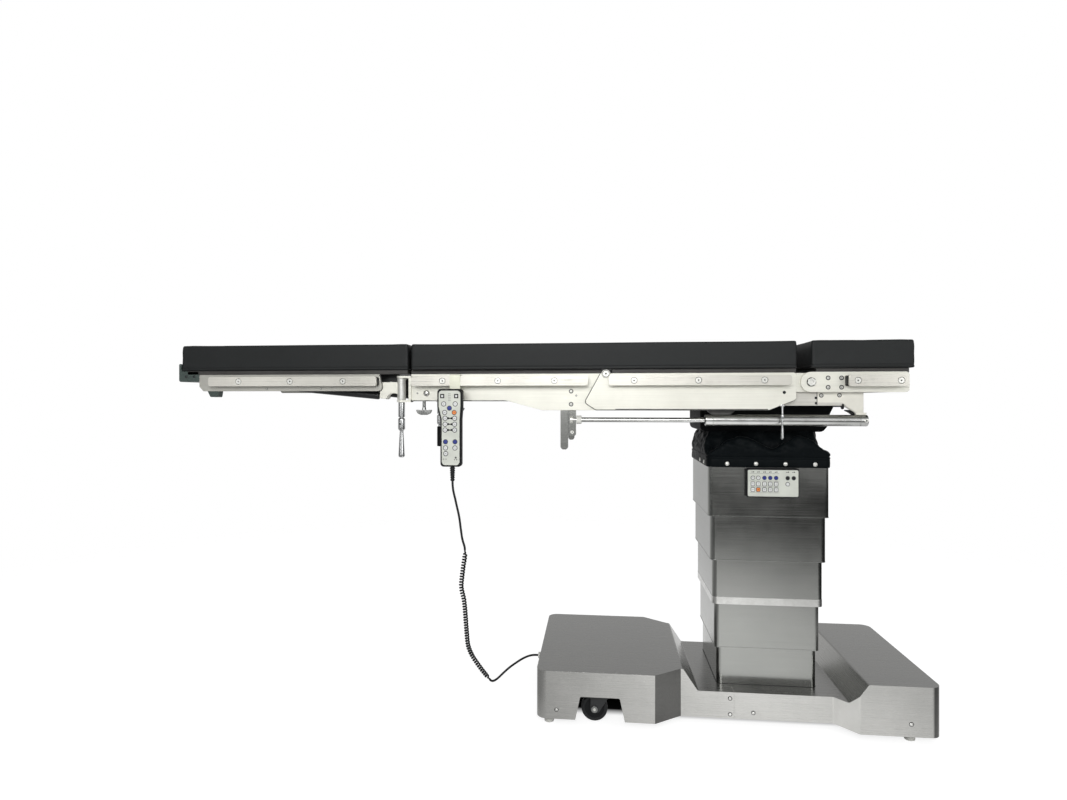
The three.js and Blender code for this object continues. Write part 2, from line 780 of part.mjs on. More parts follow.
function lockFoot(place, x, y) {
  const profile = [
    [0, 0],
    [lockTipRadius, 0],
    [lockTipRadius, lockTipHeight],
    [lockStemRadius, lockTipHeight],
    [lockStemRadius, lockStemTop],
    [0, lockStemTop],
  ];
  const mesh = named(`lock_foot_${place}`, turned(profile, 0, 0, smallSteps), whitePlastic);
  mesh.position.set(x, y, 0);
  return mesh;
}

// Cord gland: a round nose on the foot end of the cover with a spigot through its wall
function cordGland() {
  const inner = -footLobeReach + coverWall + overrun;
  const nose = bar('x', [glandY, glandZ], glandRadius, -footLobeReach - glandNose, -footLobeReach - gap, smallSteps);
  const spigot = bar('x', [glandY, glandZ], glandBore, -footLobeReach - glandNose / 2, inner, smallSteps);
  return named('cord_gland', join(nose, spigot), whitePlastic);
}

function sleeveFoot(index) {
  return index === 0 ? chassisTop + gap : spineTop + lowestReveal + (index - 1) * reveal;
}

function sleeveTop(index) {
  const last = sleeveCount - 1;
  return index === last ? rimTop : headPlateUnder - nestClearance - (last - index) * stageTravel;
}

// A column sleeve: a tube with rounded corners whose foot collar runs on the sleeve inside it
function sleeveTube(index) {
  const halfX = sleeveHalfX(index);
  const halfY = sleeveHalfY(index);
  const foot = sleeveFoot(index);
  const top = sleeveTop(index);
  const outer = flatPlate(sleeveOutline(halfX, halfY), foot, top);
  const collarX = index === 0 ? halfX - sleeveWall : sleeveHalfX(index - 1) + gap;
  const collarY = index === 0 ? halfY - sleeveWall : sleeveHalfY(index - 1) + gap;
  const mouth = flatPlate(sleeveOutline(collarX, collarY), foot - overrun, top + overrun);
  const bore = flatPlate(
    sleeveOutline(halfX - sleeveWall, halfY - sleeveWall),
    foot + collarHeight,
    top + overrun,
  );
  return cut(outer, mouth, bore);
}

// The top sleeve carries the head plate and the yoke that holds the tilt cross
function topSleeve() {
  const last = sleeveCount - 1;
  const halfX = sleeveHalfX(last) - sleeveWall + weld;
  const halfY = sleeveHalfY(last) - sleeveWall + weld;
  const plateTopZ = headPlateUnder + headPlate;
  const plate = flatPlate(sleeveOutline(halfX, halfY), headPlateUnder, plateTopZ);
  const inner = crossHalf + gap * 10;
  const ears = [-1, 1].map((side) => {
    const foot = block(side * inner, side * (inner + earThickness), -yokeFoot, yokeFoot, plateTopZ - weld, tiltZ - yokeFoot);
    const neck = block(side * inner, side * (inner + earThickness), -earRadius, earRadius, plateTopZ, tiltZ);
    const eye = bar('x', [0, tiltZ], earRadius, side * inner, side * (inner + earThickness));
    return join(foot, neck, eye);
  });
  const bore = bar('x', [0, tiltZ], trunnionRadius + gap, -trunnionReach - overrun, trunnionReach + overrun);
  return named('column_sleeve_5', cut(join(sleeveTube(last), plate, ...ears), bore), darkSteel);
}

// Lift ram: a barrel on the chassis and a plunger of nested stages that pushes the head plate
function ramBarrel() {
  const top = sleeveTop(0);
  const tube = bar('z', [0, 0], ramBarrelRadius, chassisTop + gap, top, smallSteps);
  const bore = bar('z', [0, 0], ramBarrelRadius - ramBarrelWall, chassisTop + ramBarrelWall, top + overrun, smallSteps);
  return named('lift_ram_barrel', cut(tube, bore), steel);
}

function ramPlunger() {
  const top = headPlateUnder - gap;
  const foot = sleeveTop(0) - ramInsert;
  const stage = (top - foot) / ramStages;
  const profile = [[0, foot]];
  for (let index = 0; index < ramStages; index += 1) {
    const radius = ramBarrelRadius - ramBarrelWall - gap - index * ramStageStep;
    profile.push([radius, foot + index * stage], [radius, foot + (index + 1) * stage]);
  }
  profile.push([0, top]);
  return named('lift_ram_plunger', turned(profile, 0, 0, smallSteps), chrome);
}

function controlPanel() {
  const face = -sleeveHalfY(sleeveCount - 1) - gap;
  const shape = roundedRectangle(panelLeft, panelRight, panelFoot, panelTop, panelCorner);
  return named('control_panel', sidePlate(shape, face - panelDepth, face), blackPlastic);
}

// Bellows: a thick cloth tube with a band round the top sleeve, two soft folds and a narrow top
const foldHeightShares = [0, 0.2, 0.4, 0.6, 0.8, 1];
const foldSwellShares = [0.6, 1, 0.45, 0.8, 0.3, 0];
const sagShares = [0, 0.5, 0.9, 0.6, 0.3, 0];
const rippleTurns = 14;

function bellowsRing(halfX, halfY, corner, sag, z) {
  const points = roundedRing(-halfX, halfX, -halfY, halfY, corner, 0);
  return points.map(([x, y], index) => {
    const ripple = Math.sin((index / points.length) * Math.PI * rippleTurns) * sag;
    const length = Math.hypot(x, y);
    return [x * (1 + ripple / length), y * (1 + ripple / length), z - ripple];
  });
}

function bellows() {
  const last = sleeveCount - 1;
  const seatX = sleeveHalfX(last) + gap;
  const seatY = sleeveHalfY(last) + gap;
  const rings = [];
  const add = (halfX, halfY, corner, sag, z) => rings.push(bellowsRing(halfX, halfY, corner, sag, z));
  add(seatX + bandWall, seatY + bandWall, columnCorner + bandWall, 0, bandFoot);
  add(seatX + bandWall, seatY + bandWall, columnCorner + bandWall, 0, bandTop);
  foldHeightShares.forEach((share, index) => {
    const swell = foldSwellShares[index] * clothBulge;
    const z = bandTop + bandWall + (clothWaistZ - bandTop - bandWall) * share;
    const halfX = seatX + bandWall + (clothWaistX - seatX - bandWall) * share * share + swell;
    const halfY = seatY + bandWall + (clothWaistY - seatY - bandWall) * share * share + swell;
    add(halfX, halfY, clothCorner, sagShares[index] * clothWall, z);
  });
  add(clothWaistX, clothWaistY, clothCorner, 0, clothTop);
  add(clothWaistX - clothWall, clothWaistY - clothWall, clothCorner - clothWall, 0, clothTop);
  [...foldHeightShares].reverse().forEach((share, index) => {
    const swell = foldSwellShares[foldSwellShares.length - 1 - index] * clothBulge;
    const z = bandTop + bandWall + (clothWaistZ - bandTop - bandWall) * share;
    const halfX = seatX + bandWall + (clothWaistX - seatX - bandWall) * share * share + swell - clothWall;
    const halfY = seatY + bandWall + (clothWaistY - seatY - bandWall) * share * share + swell - clothWall;
    add(halfX, halfY, clothCorner - clothWall, sagShares[sagShares.length - 1 - index] * clothWall, z);
  });
  add(seatX, seatY, columnCorner / 2, 0, bandTop - bandWall);
  add(seatX, seatY, columnCorner / 2, 0, bandFoot);
  return named('bellows', closedRings(rings), blackCloth);
}

// Rings of equal count joined into one closed surface that runs round and back to its first ring
function closedRings(rings) {
  const steps = rings[0].length;
  const positions = rings.flat(2);
  const indices = [];
  rings.forEach((ring, row) => {
    const next = (row + 1) % rings.length;
    ring.forEach((point, column) => {
      const beside = (column + 1) % steps;
      const a = row * steps + column;
      const b = row * steps + beside;
      const c = next * steps + beside;
      const d = next * steps + column;
      indices.push(a, b, c, a, c, d);
    });
  });
  const geometry = new THREE.BufferGeometry();
  geometry.setAttribute('position', new THREE.Float32BufferAttribute(positions, 3));
  geometry.setIndex(indices);
  return geometry;
}

// Tilt cross: a block whose two shafts cross, the long one in the yoke and the other in the guide frame
function tiltCross() {
  const body = block(-crossHalf, crossHalf, -crossHalf, crossHalf, tiltZ - earRadius, tiltZ + earRadius);
  const rollShaft = bar('x', [0, tiltZ], trunnionRadius, -trunnionReach, trunnionReach, smallSteps);
  const pitchShaft = bar('y', [0, tiltZ], trunnionRadius, -trunnionReach, trunnionReach, smallSteps);
  return named('tilt_cross', join(body, rollShaft, pitchShaft), steel);
}

function hoodShape(inset, foot, top) {
  return outline([
    [hoodFootX + inset, top],
    [hoodFootX + inset, foot, hoodCorner],
    [hoodHeadLowX - hoodCorner - inset, foot, hoodCorner],
    [hoodHeadLowX - inset, hoodHeadLowZ, hoodCorner],
    [hoodHeadMidX - inset, hoodHeadMidZ],
    [hoodHeadX - inset, top],
  ]);
}

function hood() {
  const top = guidePlateUnder - gap;
  const body = sidePlate(hoodShape(0, hoodFoot, top), -hoodHalfWidth, hoodHalfWidth);
  const hollow = sidePlate(
    hoodShape(hoodWall, hoodFoot + hoodWall, top + overrun),
    -hoodHalfWidth + hoodWall,
    hoodHalfWidth - hoodWall,
  );
  const mouth = block(-hoodMouthX, hoodMouthX, -hoodMouthY, hoodMouthY, hoodFoot - overrun, hoodFoot + overrun);
  return named('tilt_hood', cut(body, hollow, mouth), blackPlastic);
}

// Guide frame: the plate over the hood, its side walls and lips, the ears on the cross, a bearing hub
// and the bracket whose saddle holds the shift cylinder
function guideFrame() {
  const plateTopZ = guidePlateUnder + guidePlate;
  const parts = [block(guideFootX, hoodHeadX, -guideHalfWidth, guideHalfWidth, guidePlateUnder, plateTopZ)];
  const earInner = crossHalf + gap * 10;
  [-1, 1].forEach((side) => {
    const outer = side * guideHalfWidth;
    const inner = side * (guideHalfWidth - guideWall);
    const lip = side * (guideHalfWidth - guideWall - lipReach + overrun);
    parts.push(block(guideFootX, guideHeadX, inner, outer, guidePlateUnder, guideTop));
    parts.push(block(guideFootX, guideHeadX, lip, outer, plateTopZ + beamHeight + gap * 2, guideTop));
    parts.push(block(bracketX, guideHeadX, inner, outer, bracketFoot, plateTopZ));
    const eye = bar('y', [0, tiltZ], earRadius, side * earInner, side * (earInner + earThickness));
    const neck = block(-earRadius, earRadius, side * earInner, side * (earInner + earThickness), tiltZ, plateTopZ - weld);
    parts.push(eye, neck);
  });
  const hub = bar('y', [hubX, hubZ], hubRadius, -hubY, -hubY + hubThickness);
  const hubCap = block(hubX - hubRadius, hubX + hubRadius, -hubY - weld, hubThickness - hubY + weld,
    guidePlateUnder + weld, hubZ + hubRadius + weld);
  parts.push(cut(hub, hubCap));
  const saddleFoot = shiftZ + shiftCylinderRadius + gap;
  parts.push(block(saddleX, saddleX + saddleLength, -shiftY - saddleWidth / 2, -shiftY + saddleWidth / 2,
    saddleFoot, bracketFoot + weld));
  const bore = bar('y', [0, tiltZ], trunnionRadius + gap, -trunnionReach - overrun, trunnionReach + overrun);
  return named('guide_frame', cut(join(...parts), bore), creamPaint);
}

function shiftCylinder() {
  const tube = bar('x', [-shiftY, shiftZ], shiftCylinderRadius, shiftCylinderFoot, shiftCylinderHead);
  const bore = bar('x', [-shiftY, shiftZ], shiftRodRadius + gap, shiftCylinderFoot - overrun,
    shiftCylinderHead - shiftCylinderEnd);
  const pin = bar('y', [pinX, shiftZ], pinRadius, -shiftY - shiftCylinderRadius - pinHead, -shiftY, smallSteps);
  return named('shift_cylinder', join(cut(tube, bore), pin), steel);
}

function shiftRod() {
  return named('shift_rod', bar('x', [-shiftY, shiftZ], shiftRodRadius, shiftRodFoot, shiftRodEnd, smallSteps), chrome);
}

// Side plates of the sections, seen from the side
function seatPlateShape() {
  return outline([
    [footEndX, plateTop],
    [footEndX, seatPlateFoot],
    [seatSlopeStart, seatPlateFoot],
    [seatSlopeEnd, seatPlateDeep],
    [seatPlateHeadX, seatPlateDeep, plateCorner],
    [backHingeX + hingeEye, backHingeZ - hingeEye, plateCorner],
    [backHingeX + hingeEye, plateTop],
  ]);
}

// Seat section: side plates, board, cross walls, the two long beams that run in the guide frame,
// the clevis lugs of the legs, the horn that holds the shift rod and the back hinge's pins
function seatFrame() {
  const boardTop = boardUnder + board;
  const boardEnd = backHingeX - boardSetback;
  const beamFoot = guidePlateUnder + guidePlate + gap;
  const beamOuter = guideHalfWidth - guideWall - gap;
  const inner = seatPlateY;
  const outer = seatPlateY + plateWall;
  const parts = [
    block(footEndX, boardEnd, -outer, outer, boardUnder - weld - weld, boardTop),
    block(footEndX, footEndX + crossWall, -outer, outer, seatPlateFoot, boardUnder),
    block(midCrossX, midCrossX + crossWall, -outer, outer, hornTop - weld, boardUnder),
  ];
  [-1, 1].forEach((side) => {
    parts.push(sidePlate(seatPlateShape(), side * inner, side * outer));
    parts.push(block(footEndX, beamHeadX, side * (beamOuter - beamWidth), side * beamOuter, beamFoot, beamFoot + beamHeight));
    const pinEnd = backPlateY + plateWall + gap;
    parts.push(bar('y', [backHingeX, backHingeZ], hingePinRadius, side * (outer - weld), side * (pinEnd + weld)));
    parts.push(bar('y', [backHingeX, backHingeZ], hingeHeadRadius, side * pinEnd, side * (pinEnd + hingeHead)));
    parts.push(...legLugs(side));
  });
  const hornY = -shiftY + hornWall / 2;
  parts.push(block(hornX, hornX + hornWidth, hornY - hornWall, hornY, hornFoot, hornTop + crossWall));
  parts.push(block(hornX - crossWall, hornX + hornWidth, hornY - weld, -inner, hornTop - weld, hornTop + crossWall));
  parts.push(block(midCrossX, hornX + hornWidth, hornY - hornWall, -beamOuter + beamWidth / 2, hornTop, beamFoot + weld));
  const rodSeat = bar('x', [-shiftY, shiftZ], shiftRodRadius + gap, shiftRodFoot, hornX + hornWidth + overrun, smallSteps);
  parts.push(block(stopX, stopX + hornWidth, -outer, -outer + stopWall, stopFoot, seatPlateFoot));
  return named('seat_frame', cut(join(...parts), rodSeat), steel);
}

// Two lugs at the foot end that hold a leg's upright hinge pin
function legLugs(side) {
  const y = side * spreadY;
  return [barrelFoot - gap - lugWall, barrelTop + gap].map((z) => {
    const eye = bar('z', [spreadX, y], lugRadius, z, z + lugWall);
    const arm = block(spreadX, footEndX + weld, y - lugRadius, y + lugRadius, z, z + lugWall);
    const hole = bar('z', [spreadX, y], spreadPinRadius + gap, z - overrun, z + lugWall + overrun, smallSteps);
    const web = block(footEndX - lugWall, footEndX + weld, y - lugRadius, y + lugRadius,
      barrelFoot - gap - lugWall, barrelTop + gap + lugWall);
    return join(cut(join(eye, arm), hole), web);
  });
}

// A side rail with its spacers, seated on the outer face of a section's plate
function sideRail(name, side, footX, headX, z, height, screwShares, plateOuter) {
  const shape = roundedRectangle(footX, headX, z - height / 2, z + height / 2, railCorner);
  const rail = sidePlate(shape, side * railY, side * (railY + railWall));
  const spacers = screwShares.map((share) => footX + (headX - footX) * share).map((x) =>
    bar('y', [x, z], spacerRadius, side * (plateOuter + gap), side * (railY + weld), thinSteps));
  return named(name, join(rail, ...spacers), steel);
}

function backPlateShape() {
  return outline([
    [backHingeX - hingeEye, plateTop],
    [backPlateFootX, backPlateFootZ, plateCorner],
    [backPlateFootX + backPlateFootRun, backPlateDeep, plateCorner],
    [backPlateSlopeX, backPlateDeep, plateCorner],
    [backPlateHeadX, backPlateHeadZ, plateCorner],
    [backPlateHeadX, plateTop, plateCorner],
  ]);
}

// Back section: outer plates, board and the two tongues that hold the head section's hinge
function backFrame() {
  const inner = backPlateY;
  const outer = backPlateY + plateWall;
  const parts = [block(backHingeX + hingeEye + weld * 2, backPlateHeadX, -outer, outer, boardUnder - weld - weld, boardUnder + board)];
  const tongueShape = outline([
    [tongueStart, tongueTop],
    [tongueStart, tongueFoot],
    [headHingeX + tongueEnd, tongueFoot, tongueEnd],
    [headHingeX + tongueEnd, tongueTop, tongueEnd],
  ]);
  [-1, 1].forEach((side) => {
    parts.push(sidePlate(backPlateShape(), side * inner, side * outer));
    parts.push(sidePlate(tongueShape, side * seatPlateY, side * (seatPlateY + plateWall)));
    parts.push(block(tongueStart, backPlateHeadX, side * seatPlateY, side * outer, tongueFoot, tongueTop));
    parts.push(bar('y', [headHingeX, headHingeZ], headPinRadius, side * seatPlateY, side * (outer + gap + weld)));
    parts.push(bar('y', [headHingeX, headHingeZ], hingeHeadRadius, side * (outer + gap), side * (outer + gap + pinHead)));
  });
  const holes = bar('y', [backHingeX, backHingeZ], hingePinRadius + gap, -outer - overrun, outer + overrun);
  return named('back_frame', cut(join(...parts), holes), steel);
}

// Head section: plates with a round eye about the hinge, and a board
function headFrame() {
  const inner = backPlateY;
  const outer = backPlateY + plateWall;
  const footX = headHingeX - headEye;
  const shape = outline([
    [footX, headHingeZ + headEye, headEye],
    [footX, headHingeZ - headEye, headEye],
    [headPlateEnd, headHingeZ - headEye, plateCorner],
    [headPlateEnd, headHingeZ + headEye, plateCorner],
  ]);
  const boardFootX = headHingeX + boardSetback;
  const parts = [block(boardFootX, headPlateEnd - weld, -outer, outer, boardUnder - weld - weld, boardUnder + board)];
  [-1, 1].forEach((side) => parts.push(sidePlate(shape, side * inner, side * outer)));
  const holes = bar('y', [headHingeX, headHingeZ], headPinRadius + gap, -outer - overrun, outer + overrun);
  return named('head_frame', cut(join(...parts), holes), steel);
}

// A cushion: a flat foot, sides that are drawn in between their corners, a round edge and a crown
const padRingShares = [
  // inset of the side, height, share of the side's pull
  [1, 0, 0],
  [0, 0.2, 0.7],
  [0, 0.5, 1],
  [0, 0.78, 0.7],
  [0.5, 0.9, 0.2],
  [1.6, 0.97, 0],
];

// A ring of points along a rounded rectangle whose sides can be drawn in between its corners
function roundedRing(x0, x1, y0, y1, corner, pull) {
  const points = [];
  const corners = [
    [x1 - corner, y1 - corner],
    [x0 + corner, y1 - corner],
    [x0 + corner, y0 + corner],
    [x1 - corner, y0 + corner],
  ];
  corners.forEach(([x, y], index) => {
    const turn = (index * Math.PI) / 2;
    for (let step = 0; step <= arcSteps; step += 1) {
      const angle = turn + ((step / arcSteps) * Math.PI) / 2;
      points.push([x + corner * Math.cos(angle), y + corner * Math.sin(angle)]);
    }
    const outward = [Math.cos(turn + Math.PI / 2), Math.sin(turn + Math.PI / 2)];
    const next = corners[(index + 1) % corners.length];
    const from = points[points.length - 1];
    const to = [next[0] + corner * outward[0], next[1] + corner * outward[1]];
    for (let step = 1; step < sideSteps; step += 1) {
      const share = step / sideSteps;
      const drawn = pull * Math.sin(share * Math.PI);
      points.push([
        from[0] + (to[0] - from[0]) * share - outward[0] * drawn,
        from[1] + (to[1] - from[1]) * share - outward[1] * drawn,
      ]);
    }
  });
  return points;
}

function cushion(x0, x1, y0, y1) {
  const foot = boardUnder + board + gap;
  const edgeTop = padTop - padCrown;
  const ringAt = (inset, z, pull) => {
    const corner = Math.max(padCornerRadius - inset, padEdgeInset);
    return roundedRing(x0 + inset, x1 - inset, y0 + inset, y1 - inset, corner, pull).map(([x, y]) => [x, y, z]);
  };
  const rings = padRingShares.map(([insetShare, heightShare, pullShare]) => {
    const inset = insetShare * padFootInset;
    const z = foot + (edgeTop - foot) * heightShare;
    return ringAt(inset, z, pullShare * padSidePull);
  });
  rings.push(ringAt(padShoulder, edgeTop, 0));
  rings.push(ringAt(padInnerInset, edgeTop + padCrown / 2, 0));
  const count = rings[0].length;
  const middle = [(x0 + x1) / 2, (y0 + y1) / 2];
  const positions = rings.flat(2);
  const footIndex = positions.length / 3;
  positions.push(...middle, foot, ...middle, padTop);
  const indices = [];
  for (let column = 0; column < count; column += 1) {
    const beside = (column + 1) % count;
    indices.push(footIndex, beside, column);
    rings.slice(1).forEach((ring, row) => {
      const a = row * count + column;
      const b = row * count + beside;
      indices.push(a, b, b + count, a, b + count, a + count);
    });
    const topRow = (rings.length - 1) * count;
    indices.push(footIndex + 1, topRow + column, topRow + beside);
  }
  const geometry = new THREE.BufferGeometry();
  geometry.setAttribute('position', new THREE.Float32BufferAttribute(positions, 3));
  geometry.setIndex(indices);
  return toSolid(geometry);
}

// The main pad is one cushion in three lengths: over the seat, over the hinge and over the back
function mainPads() {
  const whole = cushion(mainPadFootX, mainPadHeadX, -padHalfWidth, padHalfWidth);
  const slice = (from, to) =>
    whole.intersect(block(from, to, -padHalfWidth - overrun, padHalfWidth + overrun, 0, padTop + overrun));
  const flexFoot = backHingeX - flexHalf;
  const flexHead = backHingeX + flexHalf;
  return {
    seat: named('seat_pad', slice(mainPadFootX - overrun, flexFoot - gap), padCover),
    flex: named('pad_flex_zone', slice(flexFoot, flexHead), padCover),
    back: named('back_pad', slice(flexHead + gap, mainPadHeadX + overrun), padCover),
  };
}

function headPad() {
  return named('head_pad', cushion(headPadFootX, headPadHeadX, -padHalfWidth, padHalfWidth), padCover);
}

function releaseLever() {
  const profile = [
    [0, releaseFoot],
    [releaseRadius, releaseFoot],
    [releaseRadius, releaseKnuckle - releaseKnuckleRadius],
    [releaseKnuckleRadius, releaseKnuckle],
    [releaseRadius, releaseKnuckle + releaseKnuckleRadius],
    [releaseRadius, releaseTop],
    [0, releaseTop],
  ];
  const arm = turned(profile, releaseX, -releaseY, thinSteps);
  const plate = backPlateY + plateWall + gap;
  const boss = bar('y', [releaseX, releaseTop], releaseKnuckleRadius, -plate, -releaseY - releaseRadius, smallSteps);
  return named('release_lever', join(arm, boss), chrome);
}

// Leg hinge: an upright barrel between the lugs and a block with the tilt pin and the spring's stub
function legHinge(side, suffix) {
  const y = side * spreadY;
  const inner = side * (spreadY - blockWidth / 2);
  const outer = side * (spreadY + blockWidth / 2);
  const barrel = bar('z', [spreadX, y], barrelRadius, barrelFoot, barrelTop);
  const bore = bar('z', [spreadX, y], spreadPinRadius + gap, barrelFoot - overrun, barrelTop + overrun, smallSteps);
  const shape = outline([
    [blockFootX, blockTop, plateCorner],
    [blockFootX, springPivotZ - springEye, plateCorner],
    [springPivotX + springEye, blockFootZ, plateCorner],
    [notchX - notchRadius, blockFootZ + notchRadius],
    [notchX, blockFootZ + notchRadius + notchRadius, notchRadius],
    [notchX + notchRadius, blockFootZ + notchRadius],
    [spreadX, barrelFoot],
    [spreadX, blockTop],
  ]);
  const body = sidePlate(shape, inner, outer);
  const tiltPin = bar('y', [tiltPinX, tiltPinZ], tiltPinRadius, inner + side * weld, side * legEarY);
  const stubEnd = side * (springY - springEyeWall / 2);
  const stub = bar('y', [springPivotX, springPivotZ], springPinRadius, inner + side * weld, stubEnd, smallSteps);
  return named(`leg_hinge_${suffix}`, join(cut(join(barrel, body), bore), tiltPin, stub), steel);
}

// Leg section: outer plate, board, inner beam, the ear on the tilt pin, the spring's anchor, the foot
// end cap and a locking knob
function legFrame(side, suffix) {
  const outer = legPlateY + plateWall;
  const at = (a, b) => [side * a, side * b];
  const plateShape = outline([
    [legPlateFootX, plateTop],
    [legPlateFootX, legPlateFoot + legBevel],
    [legPlateFootX + legBevel, legPlateFoot],
    [legPlateHeadX, legPlateFoot, plateCorner],
    [legPlateHeadX, plateTop],
  ]);
  const earShape = outline([
    [tiltPinX - legEarReach, boardUnder],
    [tiltPinX - legEarReach, boardUnder - crossWall],
    [tiltPinX - legEarRadius, tiltPinZ - legEarRadius, legEarRadius],
    [tiltPinX + legEarRadius, tiltPinZ - legEarRadius, legEarRadius],
    [tiltPinX + legEarRadius, boardUnder],
  ]);
  const knobShape = outline([
    [knobFootX, legPlateFoot + weld],
    [knobFootX + knobTaper, knobFoot],
    [knobHeadX - knobTaper, knobFoot],
    [knobHeadX, legPlateFoot + weld],
  ]);
  const parts = [
    block(legBoardFootX, legBoardHeadX, ...at(legInnerY, outer), boardUnder - weld, boardUnder + board),
    sidePlate(plateShape, ...at(legPlateY, outer)),
    block(legBoardFootX, tiltPinX - legEarReach, ...at(legBeamY, legBeamY + legBeamWall), legBeamFoot, boardUnder),
    sidePlate(earShape, ...at(legEarY, legEarY + legEarWall)),
    block(springAnchorX - anchorHalf, springAnchorX + anchorHalf,
      ...at(springY - springEyeWall / 2 - gap - anchorWall, springY - springEyeWall / 2 - gap),
      springAnchorZ - springEye, boardUnder),
    block(legCapFootX, legCapFootX + legCapDepth, ...at(legInnerY, outer), legCapFoot, boardUnder + board),
    block(legCapFootX, legCapFootX + legCapWall, ...at(legInnerY, outer), legCapFoot, legCapTop),
    sidePlate(knobShape, ...at(knobY, outer)),
  ];
  const pinHole = bar('y', [tiltPinX, tiltPinZ], tiltPinRadius + gap, ...at(legEarY - overrun, legEarY + legEarWall + overrun));
  return named(`leg_frame_${suffix}`, cut(join(...parts), pinHole), steel);
}

function legPad(side, suffix) {
  const edges = [side * legInnerY, side * padHalfWidth].sort((a, b) => a - b);
  return named(`leg_pad_${suffix}`, cushion(legPadFootX, legPadHeadX, ...edges), padCover);
}

// Gas spring: an eye on the hinge's stub, a barrel, and a rod whose eye lies beside the leg's anchor
function gasSpring(side, suffix) {
  const y = side * springY;
  const half = springEyeWall / 2;
  const angle = Math.atan2(springAnchorZ - springPivotZ, springPivotX - springAnchorX);
  const along = new THREE.CylinderGeometry(springRadius, springRadius, springBarrelLength, smallSteps);
  along.rotateZ(Math.PI / 2);
  along.translate(-springBarrelGap - springBarrelLength / 2, 0, 0);
  const rod = new THREE.CylinderGeometry(springRodRadius, springRodRadius, springLength, thinSteps);
  rod.rotateZ(Math.PI / 2);
  rod.translate(-springLength / 2, 0, 0);
  const eyeAt = (x) => bar('y', [x, 0], springEye, -half, half, smallSteps);
  const body = join(toSolid(along), toSolid(rod), eyeAt(0), eyeAt(-springLength));
  const hole = bar('y', [0, 0], springPinRadius + gap, -half - overrun, half + overrun, smallSteps);
  const mesh = named(`gas_spring_${suffix}`, cut(body, hole), blackPaint);
  mesh.rotation.y = angle;
  mesh.position.set(springPivotX, y, springPivotZ);
  return mesh;
}

// Clamp handle: its screw is the upright hinge pin, and a tapered lever hangs from the knuckle
function clampHandle(side, suffix) {
  const y = side * spreadY;
  const shaftTop = barrelFoot - gap - lugWall - gap;
  const pinTop = barrelTop + gap + lugWall;
  const profile = [
    [0, clampFoot],
    [clampGripRadius, clampFoot + gap],
    [clampNeckRadius, clampKnuckleFoot],
    [clampKnuckleRadius, clampKnuckleFoot + clampNeckRadius],
    [clampKnuckleRadius, clampShaftFoot - clampNeckRadius],
    [clampNeckRadius, clampShaftFoot - weld],
    [clampShaftRadius, clampShaftFoot],
    [clampShaftRadius, shaftTop],
    [spreadPinRadius, shaftTop],
    [spreadPinRadius, pinTop],
    [0, pinTop],
  ];
  return named(`clamp_handle_${suffix}`, turned(profile, spreadX, y, smallSteps), chrome);
}

// Hand control: a waisted body with a ribbed strain relief at its foot
function handControl() {
  const wide = controlHalf;
  const narrow = controlWaistHalf;
  const x = controlX;
  const shape = outline([
    [x - wide, controlTop, controlCorner],
    [x - wide, controlShoulder, controlCorner],
    [x - narrow + controlLean, controlWaist, controlCorner],
    [x - narrow + controlLean, controlFoot, controlCorner],
    [x + narrow + controlLean, controlFoot, controlCorner],
    [x + narrow + controlLean, controlWaist, controlCorner],
    [x + wide, controlShoulder, controlCorner],
    [x + wide, controlTop, controlCorner],
  ].reverse());
  const body = sidePlate(shape, -controlFront, -controlFront + controlDepth);
  const profile = [[0, reliefFoot]];
  const ribHeight = (controlFoot - reliefFoot) / reliefRibs;
  for (let rib = 0; rib < reliefRibs; rib += 1) {
    const z = reliefFoot + rib * ribHeight;
    profile.push([reliefRadius, z], [reliefRadius, z + ribHeight / 2]);
    profile.push([reliefGroove, z + ribHeight / 2], [reliefGroove, z + ribHeight]);
  }
  profile.push([reliefGroove, controlFoot + weld], [0, controlFoot + weld]);
  const relief = turned(profile, reliefX, -controlFront + controlDepth / 2, thinSteps);
  return named('hand_control', join(body, relief), blackPlastic);
}

// Hook that hangs the hand control on the side rail
function controlHook() {
  const back = railY - gap;
  const front = railY + railWall + gap;
  const top = railZ + railHeight / 2 + gap;
  const x0 = hookX;
  const x1 = hookX + hookWidth;
  const controlBack = controlFront - controlDepth - gap;
  const rest = block(x0, x1, -front, -controlBack, hookFoot, top + hookWall);
  const bridge = block(x0, x1, -controlBack, -back + hookWall, top, top + hookWall);
  const lip = block(x0, x1, -back, -back + hookWall, hookLipFoot, top + hookWall);
  const foot = block(x0, x1, -controlBack, -front + hookWall, hookFoot, hookFoot + hookBlock);
  return named('control_hook', join(rest, bridge, lip, foot), whitePlastic);
}

function curve(route) {
  return new THREE.CatmullRomCurve3(route.map((point) => new THREE.Vector3(...point)), false, 'centripetal');
}

// A plain stretch of cord: a round section carried along its route
function cordTube(name, route) {
  const sides = 8;
  const path = curve(route);
  const steps = Math.ceil(path.getLength() / (cordDiameter * 2));
  const section = new THREE.Shape();
  for (let side = 0; side < sides; side += 1) {
    const angle = (side / sides) * Math.PI * 2;
    const point = [(Math.cos(angle) * cordDiameter) / 2, (Math.sin(angle) * cordDiameter) / 2];
    if (side === 0) section.moveTo(...point);
    else section.lineTo(...point);
  }
  const geometry = new THREE.ExtrudeGeometry(section, { steps, extrudePath: path, bevelEnabled: false });
  return named(name, toSolid(geometry), cordCover);
}

